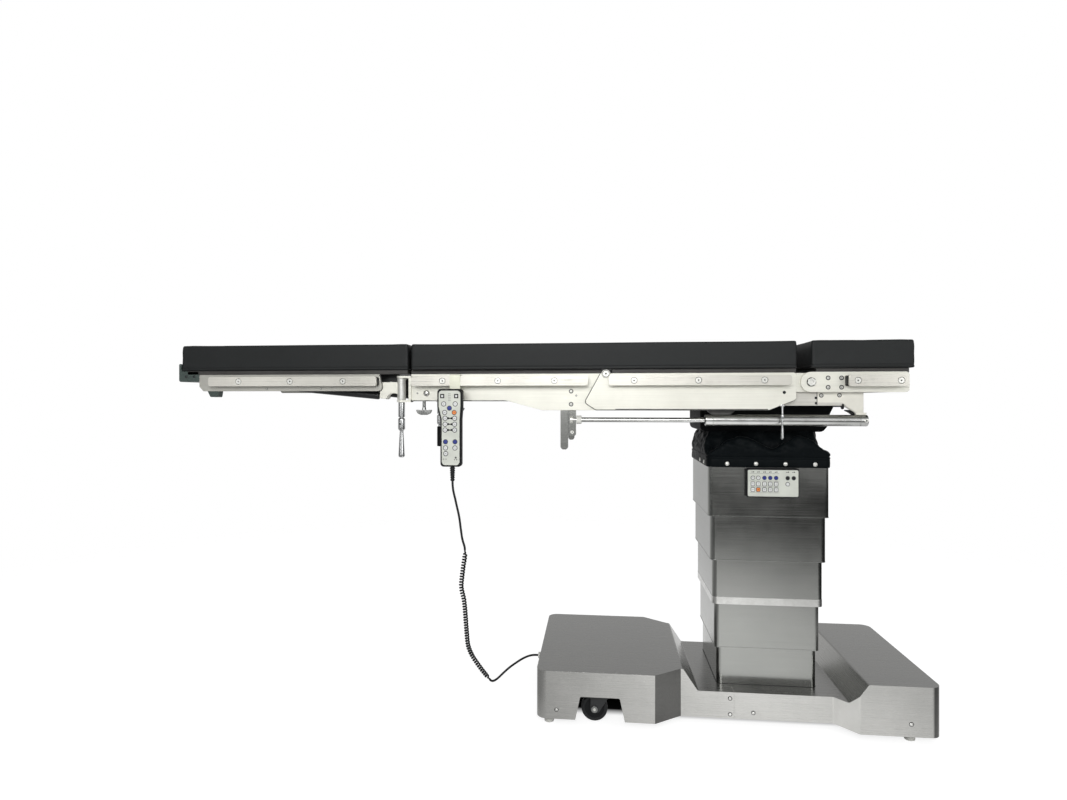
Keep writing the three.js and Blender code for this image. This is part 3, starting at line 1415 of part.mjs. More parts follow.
// The curly stretch: one unbroken tube that winds round its route, straight for one diameter at both ends
function curlyCord() {
  const path = curve(curlRoute);
  const length = path.getLength();
  const stepsPerCurl = 8;
  const sides = 5;
  const tail = curlWire;
  const total = curlCount * stepsPerCurl;
  const frames = path.computeFrenetFrames(total, false);
  const centres = [];
  const winding = (curlDiameter - curlWire) / 2;
  for (let step = 0; step <= total; step += 1) {
    const share = step / total;
    const place = path.getPointAt((tail + (length - 2 * tail) * share) / length);
    const ease = Math.min(1, step / stepsPerCurl, (total - step) / stepsPerCurl);
    const angle = (step / stepsPerCurl) * Math.PI * 2;
    const offset = frames.normals[step].clone().multiplyScalar(Math.cos(angle));
    offset.addScaledVector(frames.binormals[step], Math.sin(angle));
    centres.push(place.addScaledVector(offset, winding * ease));
  }
  const spine = [path.getPointAt(0), ...centres, path.getPointAt(1)];
  reportLeastGap(spine, stepsPerCurl);
  return named('cord_curl', tubeThrough(spine, sides, curlWire / 2), cordCover);
}

// A closed tube of flat rings through a list of centres, each ring square to the line between its neighbours
function tubeThrough(centres, sides, radius) {
  const positions = [];
  const indices = [];
  let normal = null;
  centres.forEach((centre, index) => {
    const before = centres[Math.max(index - 1, 0)];
    const after = centres[Math.min(index + 1, centres.length - 1)];
    const tangent = after.clone().sub(before).normalize();
    if (!normal) {
      normal = new THREE.Vector3(1, 0, 0).cross(tangent);
    }
    normal = normal.addScaledVector(tangent, -normal.dot(tangent)).normalize();
    const binormal = tangent.clone().cross(normal);
    for (let side = 0; side < sides; side += 1) {
      const angle = (side / sides) * Math.PI * 2;
      const point = centre.clone().addScaledVector(normal, Math.cos(angle) * radius);
      point.addScaledVector(binormal, Math.sin(angle) * radius);
      positions.push(point.x, point.y, point.z);
    }
  });
  for (let row = 0; row < centres.length - 1; row += 1) {
    for (let side = 0; side < sides; side += 1) {
      const beside = (side + 1) % sides;
      const a = row * sides + side;
      const b = row * sides + beside;
      indices.push(a, b, b + sides, a, b + sides, a + sides);
    }
  }
  const lastRow = (centres.length - 1) * sides;
  for (let side = 1; side < sides - 1; side += 1) {
    indices.push(0, side + 1, side);
    indices.push(lastRow, lastRow + side, lastRow + side + 1);
  }
  const geometry = new THREE.BufferGeometry();
  geometry.setAttribute('position', new THREE.Float32BufferAttribute(positions, 3));
  geometry.setIndex(indices);
  return geometry;
}

// The least gap between one curl and the next, measured on points of the tube's centre line
function reportLeastGap(centres, stepsPerCurl) {
  let least = Infinity;
  const apart = Math.floor(stepsPerCurl / 2) + 1;
  centres.forEach((centre, index) => {
    for (let other = index + apart; other < Math.min(index + stepsPerCurl * 2, centres.length); other += 1) {
      least = Math.min(least, centre.distanceTo(centres[other]) - curlWire);
    }
  });
  console.log(`least gap between curls of the cord: ${least.toFixed(2)} mm`);
}

function bodyGroup(...pieces) {
  const body = new THREE.Group();
  body.add(...pieces);
  return body;
}

function seatRail(side, suffix) {
  return sideRail(`seat_rail_${suffix}`, side, seatRailFootX, seatRailHeadX, railZ, railHeight, seatRailScrewShares,
    seatPlateY + plateWall);
}

function backRail(side, suffix) {
  return sideRail(`back_rail_${suffix}`, side, backRailFootX, backRailHeadX, railZ, railHeight, backRailScrewShares,
    backPlateY + plateWall);
}

function headRail(side, suffix) {
  return sideRail(`head_rail_${suffix}`, side, headRailFootX, headRailHeadX, headRailZ, headRailHeight,
    headRailScrewShares, backPlateY + plateWall);
}

function legRail(side, suffix) {
  return sideRail(`leg_rail_${suffix}`, side, legRailFootX, legRailHeadX, railZ, railHeight, legRailScrewShares,
    legPlateY + plateWall);
}

function legSection(side, suffix) {
  return bodyGroup(
    legHinge(side, suffix),
    legFrame(side, suffix),
    legRail(side, suffix),
    legPad(side, suffix),
    gasSpring(side, suffix),
    clampHandle(side, suffix),
  );
}

const sides = [[-1, 'right'], [1, 'left']];
const pads = mainPads();

const base = bodyGroup(
  baseCover(),
  chassis(),
  named('column_sleeve_1', sleeveTube(0), steel),
  ramBarrel(),
  cordGland(),
  ...casterPlaces.map((place) => casterFork(...place)),
  ...casterPlaces.map((place) => casterWheel(...place)),
  ...lockPlaces.map((place) => lockFoot(...place)),
);
const column = bodyGroup(
  named('column_sleeve_2', sleeveTube(1), steel),
  named('column_sleeve_3', sleeveTube(2), steel),
  named('column_sleeve_4', sleeveTube(3), steel),
  topSleeve(),
  ramPlunger(),
  controlPanel(),
  bellows(),
  tiltCross(),
  hood(),
);
const top = bodyGroup(
  guideFrame(),
  shiftCylinder(),
  shiftRod(),
  seatFrame(),
  backFrame(),
  headFrame(),
  ...sides.map(([side, suffix]) => seatRail(side, suffix)),
  ...sides.map(([side, suffix]) => backRail(side, suffix)),
  ...sides.map(([side, suffix]) => headRail(side, suffix)),
  pads.seat,
  pads.flex,
  pads.back,
  headPad(),
  releaseLever(),
);
const legs = bodyGroup(...sides.map(([side, suffix]) => legSection(side, suffix)));
const cordPieces = [
  cordTube('cord_upper', cordUpperRoute),
  curlyCord(),
  cordTube('cord_lower', cordLowerRoute),
];
const control = bodyGroup(handControl(), controlHook());

const table = new THREE.Group();
table.add(base, column, top, legs, control);

// The origin is on the floor under the middle of the table, whose box is taken without the cord
const box = new THREE.Box3().setFromObject(table);
table.add(...cordPieces);
table.position.set(-(box.min.x + box.max.x) / 2, -(box.min.y + box.max.y) / 2, -box.min.z);

export default table;
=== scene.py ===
import math

import bmesh
import bpy
import numpy as np
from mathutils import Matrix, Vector
from mathutils.geometry import tessellate_polygon


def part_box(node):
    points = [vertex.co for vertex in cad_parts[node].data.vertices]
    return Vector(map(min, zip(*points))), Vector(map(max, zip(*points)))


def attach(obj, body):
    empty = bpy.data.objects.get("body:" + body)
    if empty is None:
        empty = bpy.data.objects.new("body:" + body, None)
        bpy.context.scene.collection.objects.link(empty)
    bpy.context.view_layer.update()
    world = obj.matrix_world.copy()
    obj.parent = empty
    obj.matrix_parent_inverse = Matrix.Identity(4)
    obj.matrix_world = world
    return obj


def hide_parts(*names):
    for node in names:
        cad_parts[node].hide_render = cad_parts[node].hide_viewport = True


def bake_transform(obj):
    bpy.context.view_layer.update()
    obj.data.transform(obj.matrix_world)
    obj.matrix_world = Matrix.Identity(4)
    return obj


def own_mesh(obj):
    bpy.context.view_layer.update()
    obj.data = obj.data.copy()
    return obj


# An operating table. Sizes and places are in millimetres, counted from the column's axis on the floor:
# X towards the head end, Y away from the hand control, Z up. Shapes go into the frame in metres.
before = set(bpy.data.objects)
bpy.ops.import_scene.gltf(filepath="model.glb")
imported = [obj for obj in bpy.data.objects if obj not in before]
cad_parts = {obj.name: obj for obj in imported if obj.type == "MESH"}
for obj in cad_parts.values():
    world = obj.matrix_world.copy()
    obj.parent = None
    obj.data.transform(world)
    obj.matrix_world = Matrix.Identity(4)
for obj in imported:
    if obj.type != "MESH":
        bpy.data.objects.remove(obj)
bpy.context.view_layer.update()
for name in ("Cube", "Light", "Camera"):
    if name in bpy.data.objects:
        bpy.data.objects.remove(bpy.data.objects[name])
mm = 0.001
columnLow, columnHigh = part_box("column_sleeve_1")
columnAxis = ((columnLow.x + columnHigh.x) / 2, (columnLow.y + columnHigh.y) / 2, 0.0)
bothSides = ((-1, "right"), (1, "left"))


def toFrame(points):
    return np.asarray(points, float) * mm + columnAxis


def fromFrame(point):
    return (np.asarray(point, float) - columnAxis) / mm


def placed(name, data):
    made = bpy.data.objects.new(name, data)
    bpy.context.scene.collection.objects.link(made)
    return made


def evaluated(piece):
    return piece.evaluated_get(bpy.context.evaluated_depsgraph_get())


# Camera: solved from the photograph's long edges, in its pixels

photo = dict(width=1067, focal=700, centreAcross=520, turn=6.52, place=(-458.8, -2150.2, 884), sensor=36)
cameraData = bpy.data.cameras.new("photoCamera")
cameraData.sensor_width = photo["sensor"]
cameraData.lens = photo["sensor"] * photo["focal"] / photo["width"]
cameraData.shift_x = (photo["width"] / 2 - photo["centreAcross"]) / photo["width"]
camera = placed("photoCamera", cameraData)
camera.location = toFrame(photo["place"])
camera.rotation_euler = (math.radians(90), 0, math.radians(photo["turn"]))
bpy.context.scene.camera = camera


# Materials

class Sock:
    # A node's output that can be added, multiplied and compared
    def __init__(self, kit, socket):
        self.kit = kit
        self.socket = socket

    def math(self, operation, first, second=0.0):
        return self.kit.node("Math", {"operation": operation}, {0: first, 1: second})

    def __add__(self, other):
        return self.math("ADD", self, other)

    def __sub__(self, other):
        return self.math("SUBTRACT", self, other)

    def __mul__(self, other):
        return self.math("MULTIPLY", self, other)

    def __rsub__(self, other):
        return self.math("SUBTRACT", other, self)

    def __abs__(self):
        return self.math("ABSOLUTE", self)

    def __gt__(self, other):
        return self.math("GREATER_THAN", self, other)

    def most(self, other):
        return self.math("MAXIMUM", self, other)


class Kit:
    # The nodes of one material or world: every node but the first two comes from node()
    def __init__(self, owner, last):
        owner.use_nodes = True
        self.owner = owner
        self.tree = owner.node_tree
        self.last = self.tree.nodes[last]

    def feed(self, socket, value):
        if isinstance(value, Sock):
            self.tree.links.new(value.socket, socket)
        elif isinstance(value, tuple) and socket.type == "RGBA":
            socket.default_value = (*value, 1.0)
        else:
            socket.default_value = value

    def node(self, kind, settings, sockets, output=0):
        made = self.tree.nodes.new("ShaderNode" + kind)
        for name, value in settings.items():
            setattr(made, name, value)
        for name, value in sockets.items():
            self.feed(made.inputs[name], value)
        return Sock(self, made.outputs[output])

    def end(self, sockets):
        for name, value in sockets.items():
            self.feed(self.last.inputs[name], value)
        return self.owner


def surface(name):
    return Kit(bpy.data.materials.new(name), "Principled BSDF")


def stretched(kit, scale):
    # The object's own coordinates, scaled alike or by a number for each axis
    scales = scale if isinstance(scale, tuple) else (scale, scale, scale)
    return kit.node("Mapping", {}, {"Vector": kit.node("TexCoord", {}, {}, "Object"), "Scale": scales})


def noise(kit, scale, detail=3.0, roughness=0.5):
    sockets = {"Vector": stretched(kit, scale), "Scale": 1.0, "Detail": detail, "Roughness": roughness}
    return kit.node("TexNoise", {}, sockets)


def streaks(kit, scale, axis, detail):
    # Noise drawn out into lines along one axis
    slow = 5
    return noise(kit, tuple(slow if index == axis else scale for index in range(3)), detail)


def cells(kit, scale):
    return kit.node("TexVoronoi", {}, {"Vector": stretched(kit, scale), "Scale": 1.0})


def ramp(kit, value, low, high, first=0.0, last=1.0):
    sockets = {"Value": value, "From Min": low, "From Max": high, "To Min": first, "To Max": last}
    return kit.node("MapRange", {}, sockets)


def mixed(kit, factor, first, second):
    return kit.node("Mix", {"data_type": "RGBA"}, {0: factor, 6: first, 7: second}, 2)


def bumped(kit, height, distance):
    return kit.node("Bump", {}, {"Height": height, "Distance": distance})


def part(kit, vector, axis):
    return kit.node("SeparateXYZ", {}, {0: vector}, axis)


def scaled(colour, factor):
    return tuple(channel * factor for channel in colour)


def finished(kit, colour, rough, height, depth, others):
    normal = bumped(kit, height, depth)
    return kit.end({"Base Color": colour, "Roughness": rough, "Normal": normal, **others})


def brushed(name, dark, light, roughness, along, depth=0.00004, metallic=1.0, top=1.0, turned=1.0):
    # Metal with fine lines along one axis; faces across that axis get lines along another.
    # Upward faces are painted darker by the factor top, a painted shade, and upright faces
    # turned part way to +X are painted darker by the factor turned, a painted reflection of the dark side
    # of the room
    kit = surface(name)
    fine, coarse = 1500, 260
    axis = "XYZ".index(along)
    other = 1 if along != "Y" else 0
    normal = kit.node("NewGeometry", {}, {}, "Normal")
    faceX, faceZ = part(kit, normal, 0), part(kit, normal, 2)
    endFace = abs(part(kit, normal, axis)) > 0.7
    lines = streaks(kit, fine, axis, 2) * (1 - endFace) + streaks(kit, fine, other, 2) * endFace
    patches = noise(kit, 9, 4, 0.6)
    wide = streaks(kit, coarse, axis, 1)
    tone = ramp(kit, lines * 0.4 + wide * 0.12 + patches * 0.48, 0.35, 0.65)
    colour = mixed(kit, tone, dark, light)
    # Painted shade: faces that look up get a darker copy of the colour
    if top < 1:
        upward = ramp(kit, faceZ, 0.3, 0.8)
        colour = mixed(kit, upward, colour, mixed(kit, tone, scaled(dark, top), scaled(light, top)))
    # Painted reflection: upright faces turned part way to +X get a darker copy of the colour
    if turned < 1:
        aside = ramp(kit, faceX, 0.12, 0.3) * ramp(kit, faceX, 0.9, 0.72) * ramp(kit, faceZ, 0.25, 0.1)
        colour = mixed(kit, aside, colour, mixed(kit, tone, scaled(dark, turned), scaled(light, turned)))
    rough = ramp(kit, lines * 0.6 + patches * 0.4, 0.3, 0.7, roughness - 0.06, roughness + 0.08)
    return finished(kit, colour, rough, lines, depth, {"Metallic": metallic})


def polished(name, dark, light, roughness):
    # Ground and polished metal: slow changes of tone, a faint haze and shallow dents
    kit = surface(name)
    tone = ramp(kit, noise(kit, 18, 4, 0.6), 0.35, 0.65)
    haze = noise(kit, 70, 2)
    rough = ramp(kit, haze, 0.35, 0.65, roughness - 0.03, roughness + 0.05)
    return finished(kit, mixed(kit, tone, dark, light), rough, haze, 0.000004, {"Metallic": 1.0})


def painted(name, colour, roughness, grain=0.00006):
    # Paint with a faint orange peel and slow changes of tone
    kit = surface(name)
    patches = noise(kit, 14, 4)
    tone = mixed(kit, ramp(kit, patches, 0.35, 0.65), scaled(colour, 0.82), colour)
    rough = ramp(kit, patches, 0.3, 0.7, roughness - 0.05, roughness + 0.07)
    return finished(kit, tone, rough, noise(kit, 420, 2), grain, {})


def moulded(name, colour, roughness, grain=0.00008, coat=0.0, shine=0.3):
    # Plastic or rubber with a speckled mould grain
    kit = surface(name)
    speckle = cells(kit, 1400)
    patches = noise(kit, 25)
    tone = mixed(kit, ramp(kit, patches, 0.3, 0.7), scaled(colour, 0.85), colour)
    rough = ramp(kit, speckle * 0.5 + patches * 0.5, 0.2, 0.7, roughness - 0.04, roughness + 0.08)
    return finished(kit, tone, rough, speckle, grain, {"Coat Weight": coat, "Specular IOR Level": shine})


def coatedCover(name, dark, light, roughness):
    # Coated fabric over foam: a fine pebble grain and slow patches
    kit = surface(name)
    pebble = cells(kit, 900)
    finer = noise(kit, 2600, 2)
    patches = noise(kit, (6, 6, 9), 5, 0.6)
    tone = mixed(kit, ramp(kit, patches * 0.7 + pebble * 0.4, 0.3, 0.8), dark, light)
    rough = ramp(kit, patches * 0.6 + finer * 0.4, 0.3, 0.7, roughness - 0.05, roughness + 0.07)
    return finished(kit, tone, rough, pebble * 0.7 + finer * 0.3, 0.00012, {"Specular IOR Level": 0.25})


def wovenCloth(name, dark, light, roughness):
    kit = surface(name)
    warp = noise(kit, (1900, 1900, 350), 1)
    weft = noise(kit, (350, 350, 1900), 1)
    patches = noise(kit, 12, 4)
    tone = mixed(kit, ramp(kit, warp * 0.3 + weft * 0.3 + patches * 0.4, 0.35, 0.65), dark, light)
    rough = ramp(kit, patches, 0.3, 0.7, roughness - 0.06, roughness + 0.08)
    sheen = {"Specular IOR Level": 0.04, "Sheen Weight": 0.03, "Sheen Roughness": 0.35}
    return finished(kit, tone, rough, warp + weft, 0.0001, sheen)


def laminate(name, dark, light, roughness):
    # A board whose streaks lie level
    kit = surface(name)
    streak = noise(kit, (8, 8, 700))
    patches = noise(kit, 30)
    tone = mixed(kit, ramp(kit, streak * 0.6 + patches * 0.4, 0.35, 0.65), dark, light)
    rough = ramp(kit, patches, 0.3, 0.7, roughness - 0.05, roughness + 0.05)
    return finished(kit, tone, rough, streak, 0.00005, {"Coat Weight": 0.05, "Specular IOR Level": 0.3})


# Each finish's maker, with its tones, its roughness and what else the maker takes
recipes = {
    # The base cover's sheet steel, with painted shade on its tops and a painted darker reflection on faces
    # turned to +X
    "sheetSteel": (brushed, (0.48, 0.48, 0.462), (0.585, 0.58, 0.56), 0.26, "X", 0.000005, 1.0, 0.39, 0.22),
    "columnSteel": (brushed, (0.298, 0.304, 0.29), (0.352, 0.356, 0.34), 0.18, "X", 0.0000012),
    "plateSteel": (brushed, (0.66, 0.655, 0.585), (0.79, 0.785, 0.71), 0.4, "X", 0.00001, 0.3),
    # A darker copy of the plate steel for the leg sections: painted shade
    "legSteel": (brushed, (0.37, 0.365, 0.33), (0.46, 0.455, 0.415), 0.4, "X", 0.00001, 0.3),
    "knuckleSteel": (brushed, (0.5, 0.5, 0.475), (0.66, 0.66, 0.63), 0.4, "Z", 0.00001, 0.45),
    "railSteel": (brushed, (0.52, 0.51, 0.46), (0.67, 0.655, 0.6), 0.3, "X", 0.00001, 0.5),
    "barSteel": (polished, (0.52, 0.525, 0.51), (0.64, 0.645, 0.63), 0.2),
    "pinSteel": (polished, (0.6, 0.6, 0.58), (0.72, 0.72, 0.7), 0.22),
    "castSteel": (polished, (0.24, 0.245, 0.24), (0.38, 0.385, 0.375), 0.28),
    "chromed": (polished, (0.6, 0.61, 0.61), (0.72, 0.73, 0.73), 0.14),
    "screwSteel": (brushed, (0.62, 0.62, 0.58), (0.8, 0.8, 0.76), 0.3, "Y", 0.000004, 0.5),
    "wallSteel": (brushed, (0.42, 0.41, 0.37), (0.66, 0.65, 0.6), 0.42, "X", 0.00001, 0.35),
    # Near black steel for countersinks, sockets, rings and gaps: painted shade
    "sunkSteel": (brushed, (0.035, 0.035, 0.034), (0.07, 0.07, 0.068), 0.4, "Y", 0.00002, 0.6),
    "creamPaint": (painted, (0.76, 0.745, 0.67), 0.42, 0.00004),
    "blackPaint": (painted, (0.018, 0.019, 0.02), 0.4),
    "darkSteel": (brushed, (0.07, 0.07, 0.07), (0.16, 0.16, 0.155), 0.35, "X"),
    "blackPlastic": (moulded, (0.008, 0.0085, 0.0095), 0.45, 0.00008, 0.0, 0.18),
    "hoodPlastic": (moulded, (0.005, 0.0055, 0.006), 0.5, 0.00008, 0.0, 0.04),
    "capPlastic": (moulded, (0.055, 0.075, 0.068), 0.35, 0.00008, 0.2),
    "palePlastic": (moulded, (0.74, 0.74, 0.7), 0.45),
    "hookPlastic": (moulded, (0.84, 0.85, 0.7), 0.4),
    "keypadFace": (moulded, (0.62, 0.64, 0.58), 0.5, 0.00003),
    "keyWhite": (moulded, (0.72, 0.73, 0.72), 0.35, 0.00002),
    "keyRing": (moulded, (0.055, 0.06, 0.065), 0.45, 0.00002),
    "keyBlue": (moulded, (0.03, 0.045, 0.26), 0.35, 0.00002),
    "keyOrange": (moulded, (0.82, 0.26, 0.07), 0.35, 0.00002),
    "keyBlack": (moulded, (0.013, 0.013, 0.015), 0.35, 0.00002),
    "padCover": (coatedCover, (0.0105, 0.0118, 0.0121), (0.0168, 0.0188, 0.019), 0.55),
    "bellowsCloth": (wovenCloth, (0.0028, 0.004, 0.0046), (0.0048, 0.0066, 0.0076), 0.45),
    "boardLaminate": (laminate, (0.03, 0.029, 0.028), (0.058, 0.055, 0.052), 0.42),
    "wheelRubber": (moulded, (0.012, 0.013, 0.014), 0.55, 0.0001),
    "cordRubber": (moulded, (0.012, 0.013, 0.014), 0.42, 0.00004),
}
finishes = {name: maker(name, *values) for name, (maker, *values) in recipes.items()}
print("stage: materials", flush=True)


# Shapes: each one is a bmesh in millimetres

def rounded(points, steps=7):
    # A polygon with each corner rounded by the third number of its point
    pairs = [np.array(point[:2], float) for point in points]
    radii = [point[2] if len(point) > 2 else 0 for point in points]
    made = []
    for index, (corner, radius) in enumerate(zip(pairs, radii)):
        if radius <= 0:
            made.append(tuple(corner))
            continue
        back = pairs[index - 1] - corner
        ahead = pairs[(index + 1) % len(pairs)] - corner
        backLength, aheadLength = np.linalg.norm(back), np.linalg.norm(ahead)
        back, ahead = back / backLength, ahead / aheadLength
        half = math.acos(max(-1.0, min(1.0, float(back @ ahead)))) / 2
        run = min(radius / math.tan(half), backLength * 0.499, aheadLength * 0.499)
        radius = run * math.tan(half)
        middle = back + ahead
        centre = corner + middle / np.linalg.norm(middle) * radius / math.sin(half)
        start, end = corner + back * run - centre, corner + ahead * run - centre
        first = math.atan2(start[1], start[0])
        sweep = math.atan2(start[0] * end[1] - start[1] * end[0], float(start @ end))
        count = max(2, math.ceil(abs(sweep) / (math.pi / 2) * steps))
        for step in range(count + 1):
            angle = first + sweep * step / count
            made.append((centre[0] + radius * math.cos(angle), centre[1] + radius * math.sin(angle)))
    return made


def rectangle(left, right, low, high, radius=0, steps=7):
    return rounded([(left, low, radius), (right, low, radius), (right, high, radius), (left, high, radius)],
                   steps)


def tile(x, z, halfWide, halfTall, radius=0, steps=7):
    return rectangle(x - halfWide, x + halfWide, z - halfTall, z + halfTall, radius, steps)


def circle(x, y, radius, steps=32, start=0.0):
    angles = [start + math.tau * step / steps for step in range(steps)]
    return [(x + radius * math.cos(angle), y + radius * math.sin(angle)) for angle in angles]


def arc(x, y, radius, start, end, count):
    # Points along part of a circle
    angles = np.linspace(start, end, count)
    return [(x + radius * math.cos(angle), y + radius * math.sin(angle)) for angle in angles]


def hole(x, y, radius, steps=32, start=0.0):
    # A circle the other way round, to cut a plate
    return circle(x, y, radius, steps, start)[::-1]


def softened(shape, width, segments=2, angle=35):
    # Small round edges wherever two faces meet sharply
    if width > 0:
        sharp = [edge for edge in shape.edges
                 if len(edge.link_faces) == 2 and edge.calc_face_angle(0) > math.radians(angle)]
        bmesh.ops.bevel(shape, geom=sharp, offset=width, offset_type="OFFSET", segments=segments,
                        profile=0.5, affect="EDGES", clamp_overlap=True)
    return shape


def prism(outline, plane, start, end, holes=(), edge=0.6, segments=2):
    # A plate with an outline in plane xz, xy or yz, between two places along the third axis
    lift = {"xz": lambda a, b, c: (a, c, b), "xy": lambda a, b, c: (a, b, c), "yz": lambda a, b,
            c: (c, a, b)}[plane]
    shape = bmesh.new()
    loops = [list(outline)] + [list(cut) for cut in holes]
    ends = []
    for level in sorted((start, end)):
        ends.append([[shape.verts.new(lift(a, b, level)) for a, b in loop] for loop in loops])
    for lowLoop, highLoop in zip(*ends):
        for index in range(len(lowLoop)):
            beside = (index + 1) % len(lowLoop)
            shape.faces.new((lowLoop[index], lowLoop[beside], highLoop[beside], highLoop[index]))
    if holes:
        triangles = tessellate_polygon([[Vector((a, b, 0)) for a, b in loop] for loop in loops])
        for level in ends:
            corners = [vertex for loop in level for vertex in loop]
            for triangle in triangles:
                shape.faces.new([corners[index] for index in triangle])
    else:
        for level in ends:
            shape.faces.new(level[0])
    bmesh.ops.recalc_face_normals(shape, faces=shape.faces)
    return softened(shape, edge, segments)


def block(left, right, front, back, low, high, edge=0.6):
    return prism(rectangle(left, right, low, high), "xz", front, back, edge=edge)


def turned(profile, axis, centre, steps=40):
    # A turned piece about a line along x, y or z: the profile lists radius and place along it
    shape = bmesh.new()
    lift = {
        "x": lambda r, t, a: (t, centre[0] + r * math.cos(a), centre[1] + r * math.sin(a)),
        "y": lambda r, t, a: (centre[0] + r * math.cos(a), t, centre[1] + r * math.sin(a)),
        "z": lambda r, t, a: (centre[0] + r * math.cos(a), centre[1] + r * math.sin(a), t),
    }[axis]
    rings = []
    for radius, along in profile:
        if radius < 1e-6:
            rings.append([shape.verts.new(lift(0, along, 0))])
        else:
            rings.append([shape.verts.new(lift(radius, along,
                                               math.tau * step / steps)) for step in range(steps)])
    pairs = list(zip(rings, rings[1:]))
    if len(rings[0]) > 1:
        pairs.append((rings[-1], rings[0]))
    for first, second in pairs:
        for step in range(steps):
            beside = (step + 1) % steps
            ring = [first[step % len(first)], first[beside % len(first)],
                    second[beside % len(second)], second[step % len(second)]]
            corners = list(dict.fromkeys(ring))
            if len(corners) > 2:
                shape.faces.new(corners)
    bmesh.ops.recalc_face_normals(shape, faces=shape.faces)
    return shape


def bar(axis, centre, radius, start, end, edge=0.6, steps=40):
    low, high = sorted((start, end))
    edge = min(edge, radius * 0.4, (high - low) * 0.4)
    profile = [(0, low), (radius - edge, low), (radius - edge * 0.3, low + edge * 0.3),
               (radius, low + edge), (radius, high - edge), (radius - edge * 0.3, high - edge * 0.3),
               (radius - edge, high), (0, high)]
    return turned(profile, axis, centre, steps)


def wayAlong(points):
    return np.concatenate([[0], np.cumsum(np.linalg.norm(np.diff(points, axis=0), axis=1))])


def evenly(points, lengths, even):
    # The places at some lengths along a path of points
    return np.stack([np.interp(even, lengths, points[:, axis]) for axis in range(points.shape[1])], axis=1)


def smoothPath(points, step):
    # A smooth curve through the points, sampled evenly: a centripetal Catmull-Rom spline
    points = np.asarray(points, float)
    padded = np.vstack([2 * points[0] - points[1], points, 2 * points[-1] - points[-2]])
    dense = []
    for index in range(1, len(padded) - 2):
        p0, p1, p2, p3 = padded[index - 1:index + 3]
        k0, k1, k2 = (max(np.linalg.norm(b - a), 1e-6) ** 0.5 for a, b in ((p0, p1), (p1, p2), (p2, p3)))
        t1, t2, t3 = k0, k0 + k1, k0 + k1 + k2
        for t in np.linspace(t1, t2, 24, endpoint=False):
            a1 = (t1 - t) / t1 * p0 + t / t1 * p1
            a2 = (t2 - t) / (t2 - t1) * p1 + (t - t1) / (t2 - t1) * p2
            a3 = (t3 - t) / (t3 - t2) * p2 + (t - t2) / (t3 - t2) * p3
            b1 = (t2 - t) / t2 * a1 + t / t2 * a2
            b2 = (t3 - t) / (t3 - t1) * a2 + (t - t1) / (t3 - t1) * a3
            dense.append((t2 - t) / (t2 - t1) * b1 + (t - t1) / (t2 - t1) * b2)
    dense = np.array(dense + [points[-1]])
    lengths = wayAlong(dense)
    count = max(2, round(lengths[-1] / step) + 1)
    return evenly(dense, lengths, np.linspace(0, lengths[-1], count))


def framesAlong(centres):
    # Two directions square to the path at each point, without needless twist
    tangents = np.gradient(centres, axis=0)
    tangents /= np.linalg.norm(tangents, axis=1)[:, None]
    normals = np.zeros_like(centres)
    normal = np.cross(np.array([1.0, 0.0, 0.0]), tangents[0])
    for index, tangent in enumerate(tangents):
        normal = normal - (normal @ tangent) * tangent
        normal = normal / np.linalg.norm(normal)
        normals[index] = normal
    return normals, np.cross(tangents, normals)


def tube(centres, radius, sides):
    # A closed tube through a list of centres
    normals, others = framesAlong(centres)
    shape = bmesh.new()
    rings = []
    for centre, normal, other in zip(centres, normals, others):
        ring = []
        for side in range(sides):
            angle = math.tau * side / sides
            out = normal * math.cos(angle) + other * math.sin(angle)
            ring.append(shape.verts.new(centre + out * radius))
        rings.append(ring)
    for first, second in zip(rings, rings[1:]):
        for side in range(sides):
            beside = (side + 1) % sides
            shape.faces.new((first[side], first[beside], second[beside], second[side]))
    shape.faces.new(rings[0])
    shape.faces.new(rings[-1])
    bmesh.ops.recalc_face_normals(shape, faces=shape.faces)
    return shape


def combined(shape, tool, operation="DIFFERENCE"):
    # One shape cut by another, or what the two have in common
    made = []
    for solid in (shape, tool):
        data = bpy.data.meshes.new("part")
        solid.to_mesh(data)
        solid.free()
        made.append(placed("part", data))
    cutting = made[0].modifiers.new("cut", "BOOLEAN")
    cutting.operation = operation
    cutting.solver = "EXACT"
    cutting.object = made[1]
    answer = bmesh.new()
    answer.from_mesh(evaluated(made[0]).data)
    for held in made:
        data = held.data
        bpy.data.objects.remove(held)
        bpy.data.meshes.remove(data)
    return answer


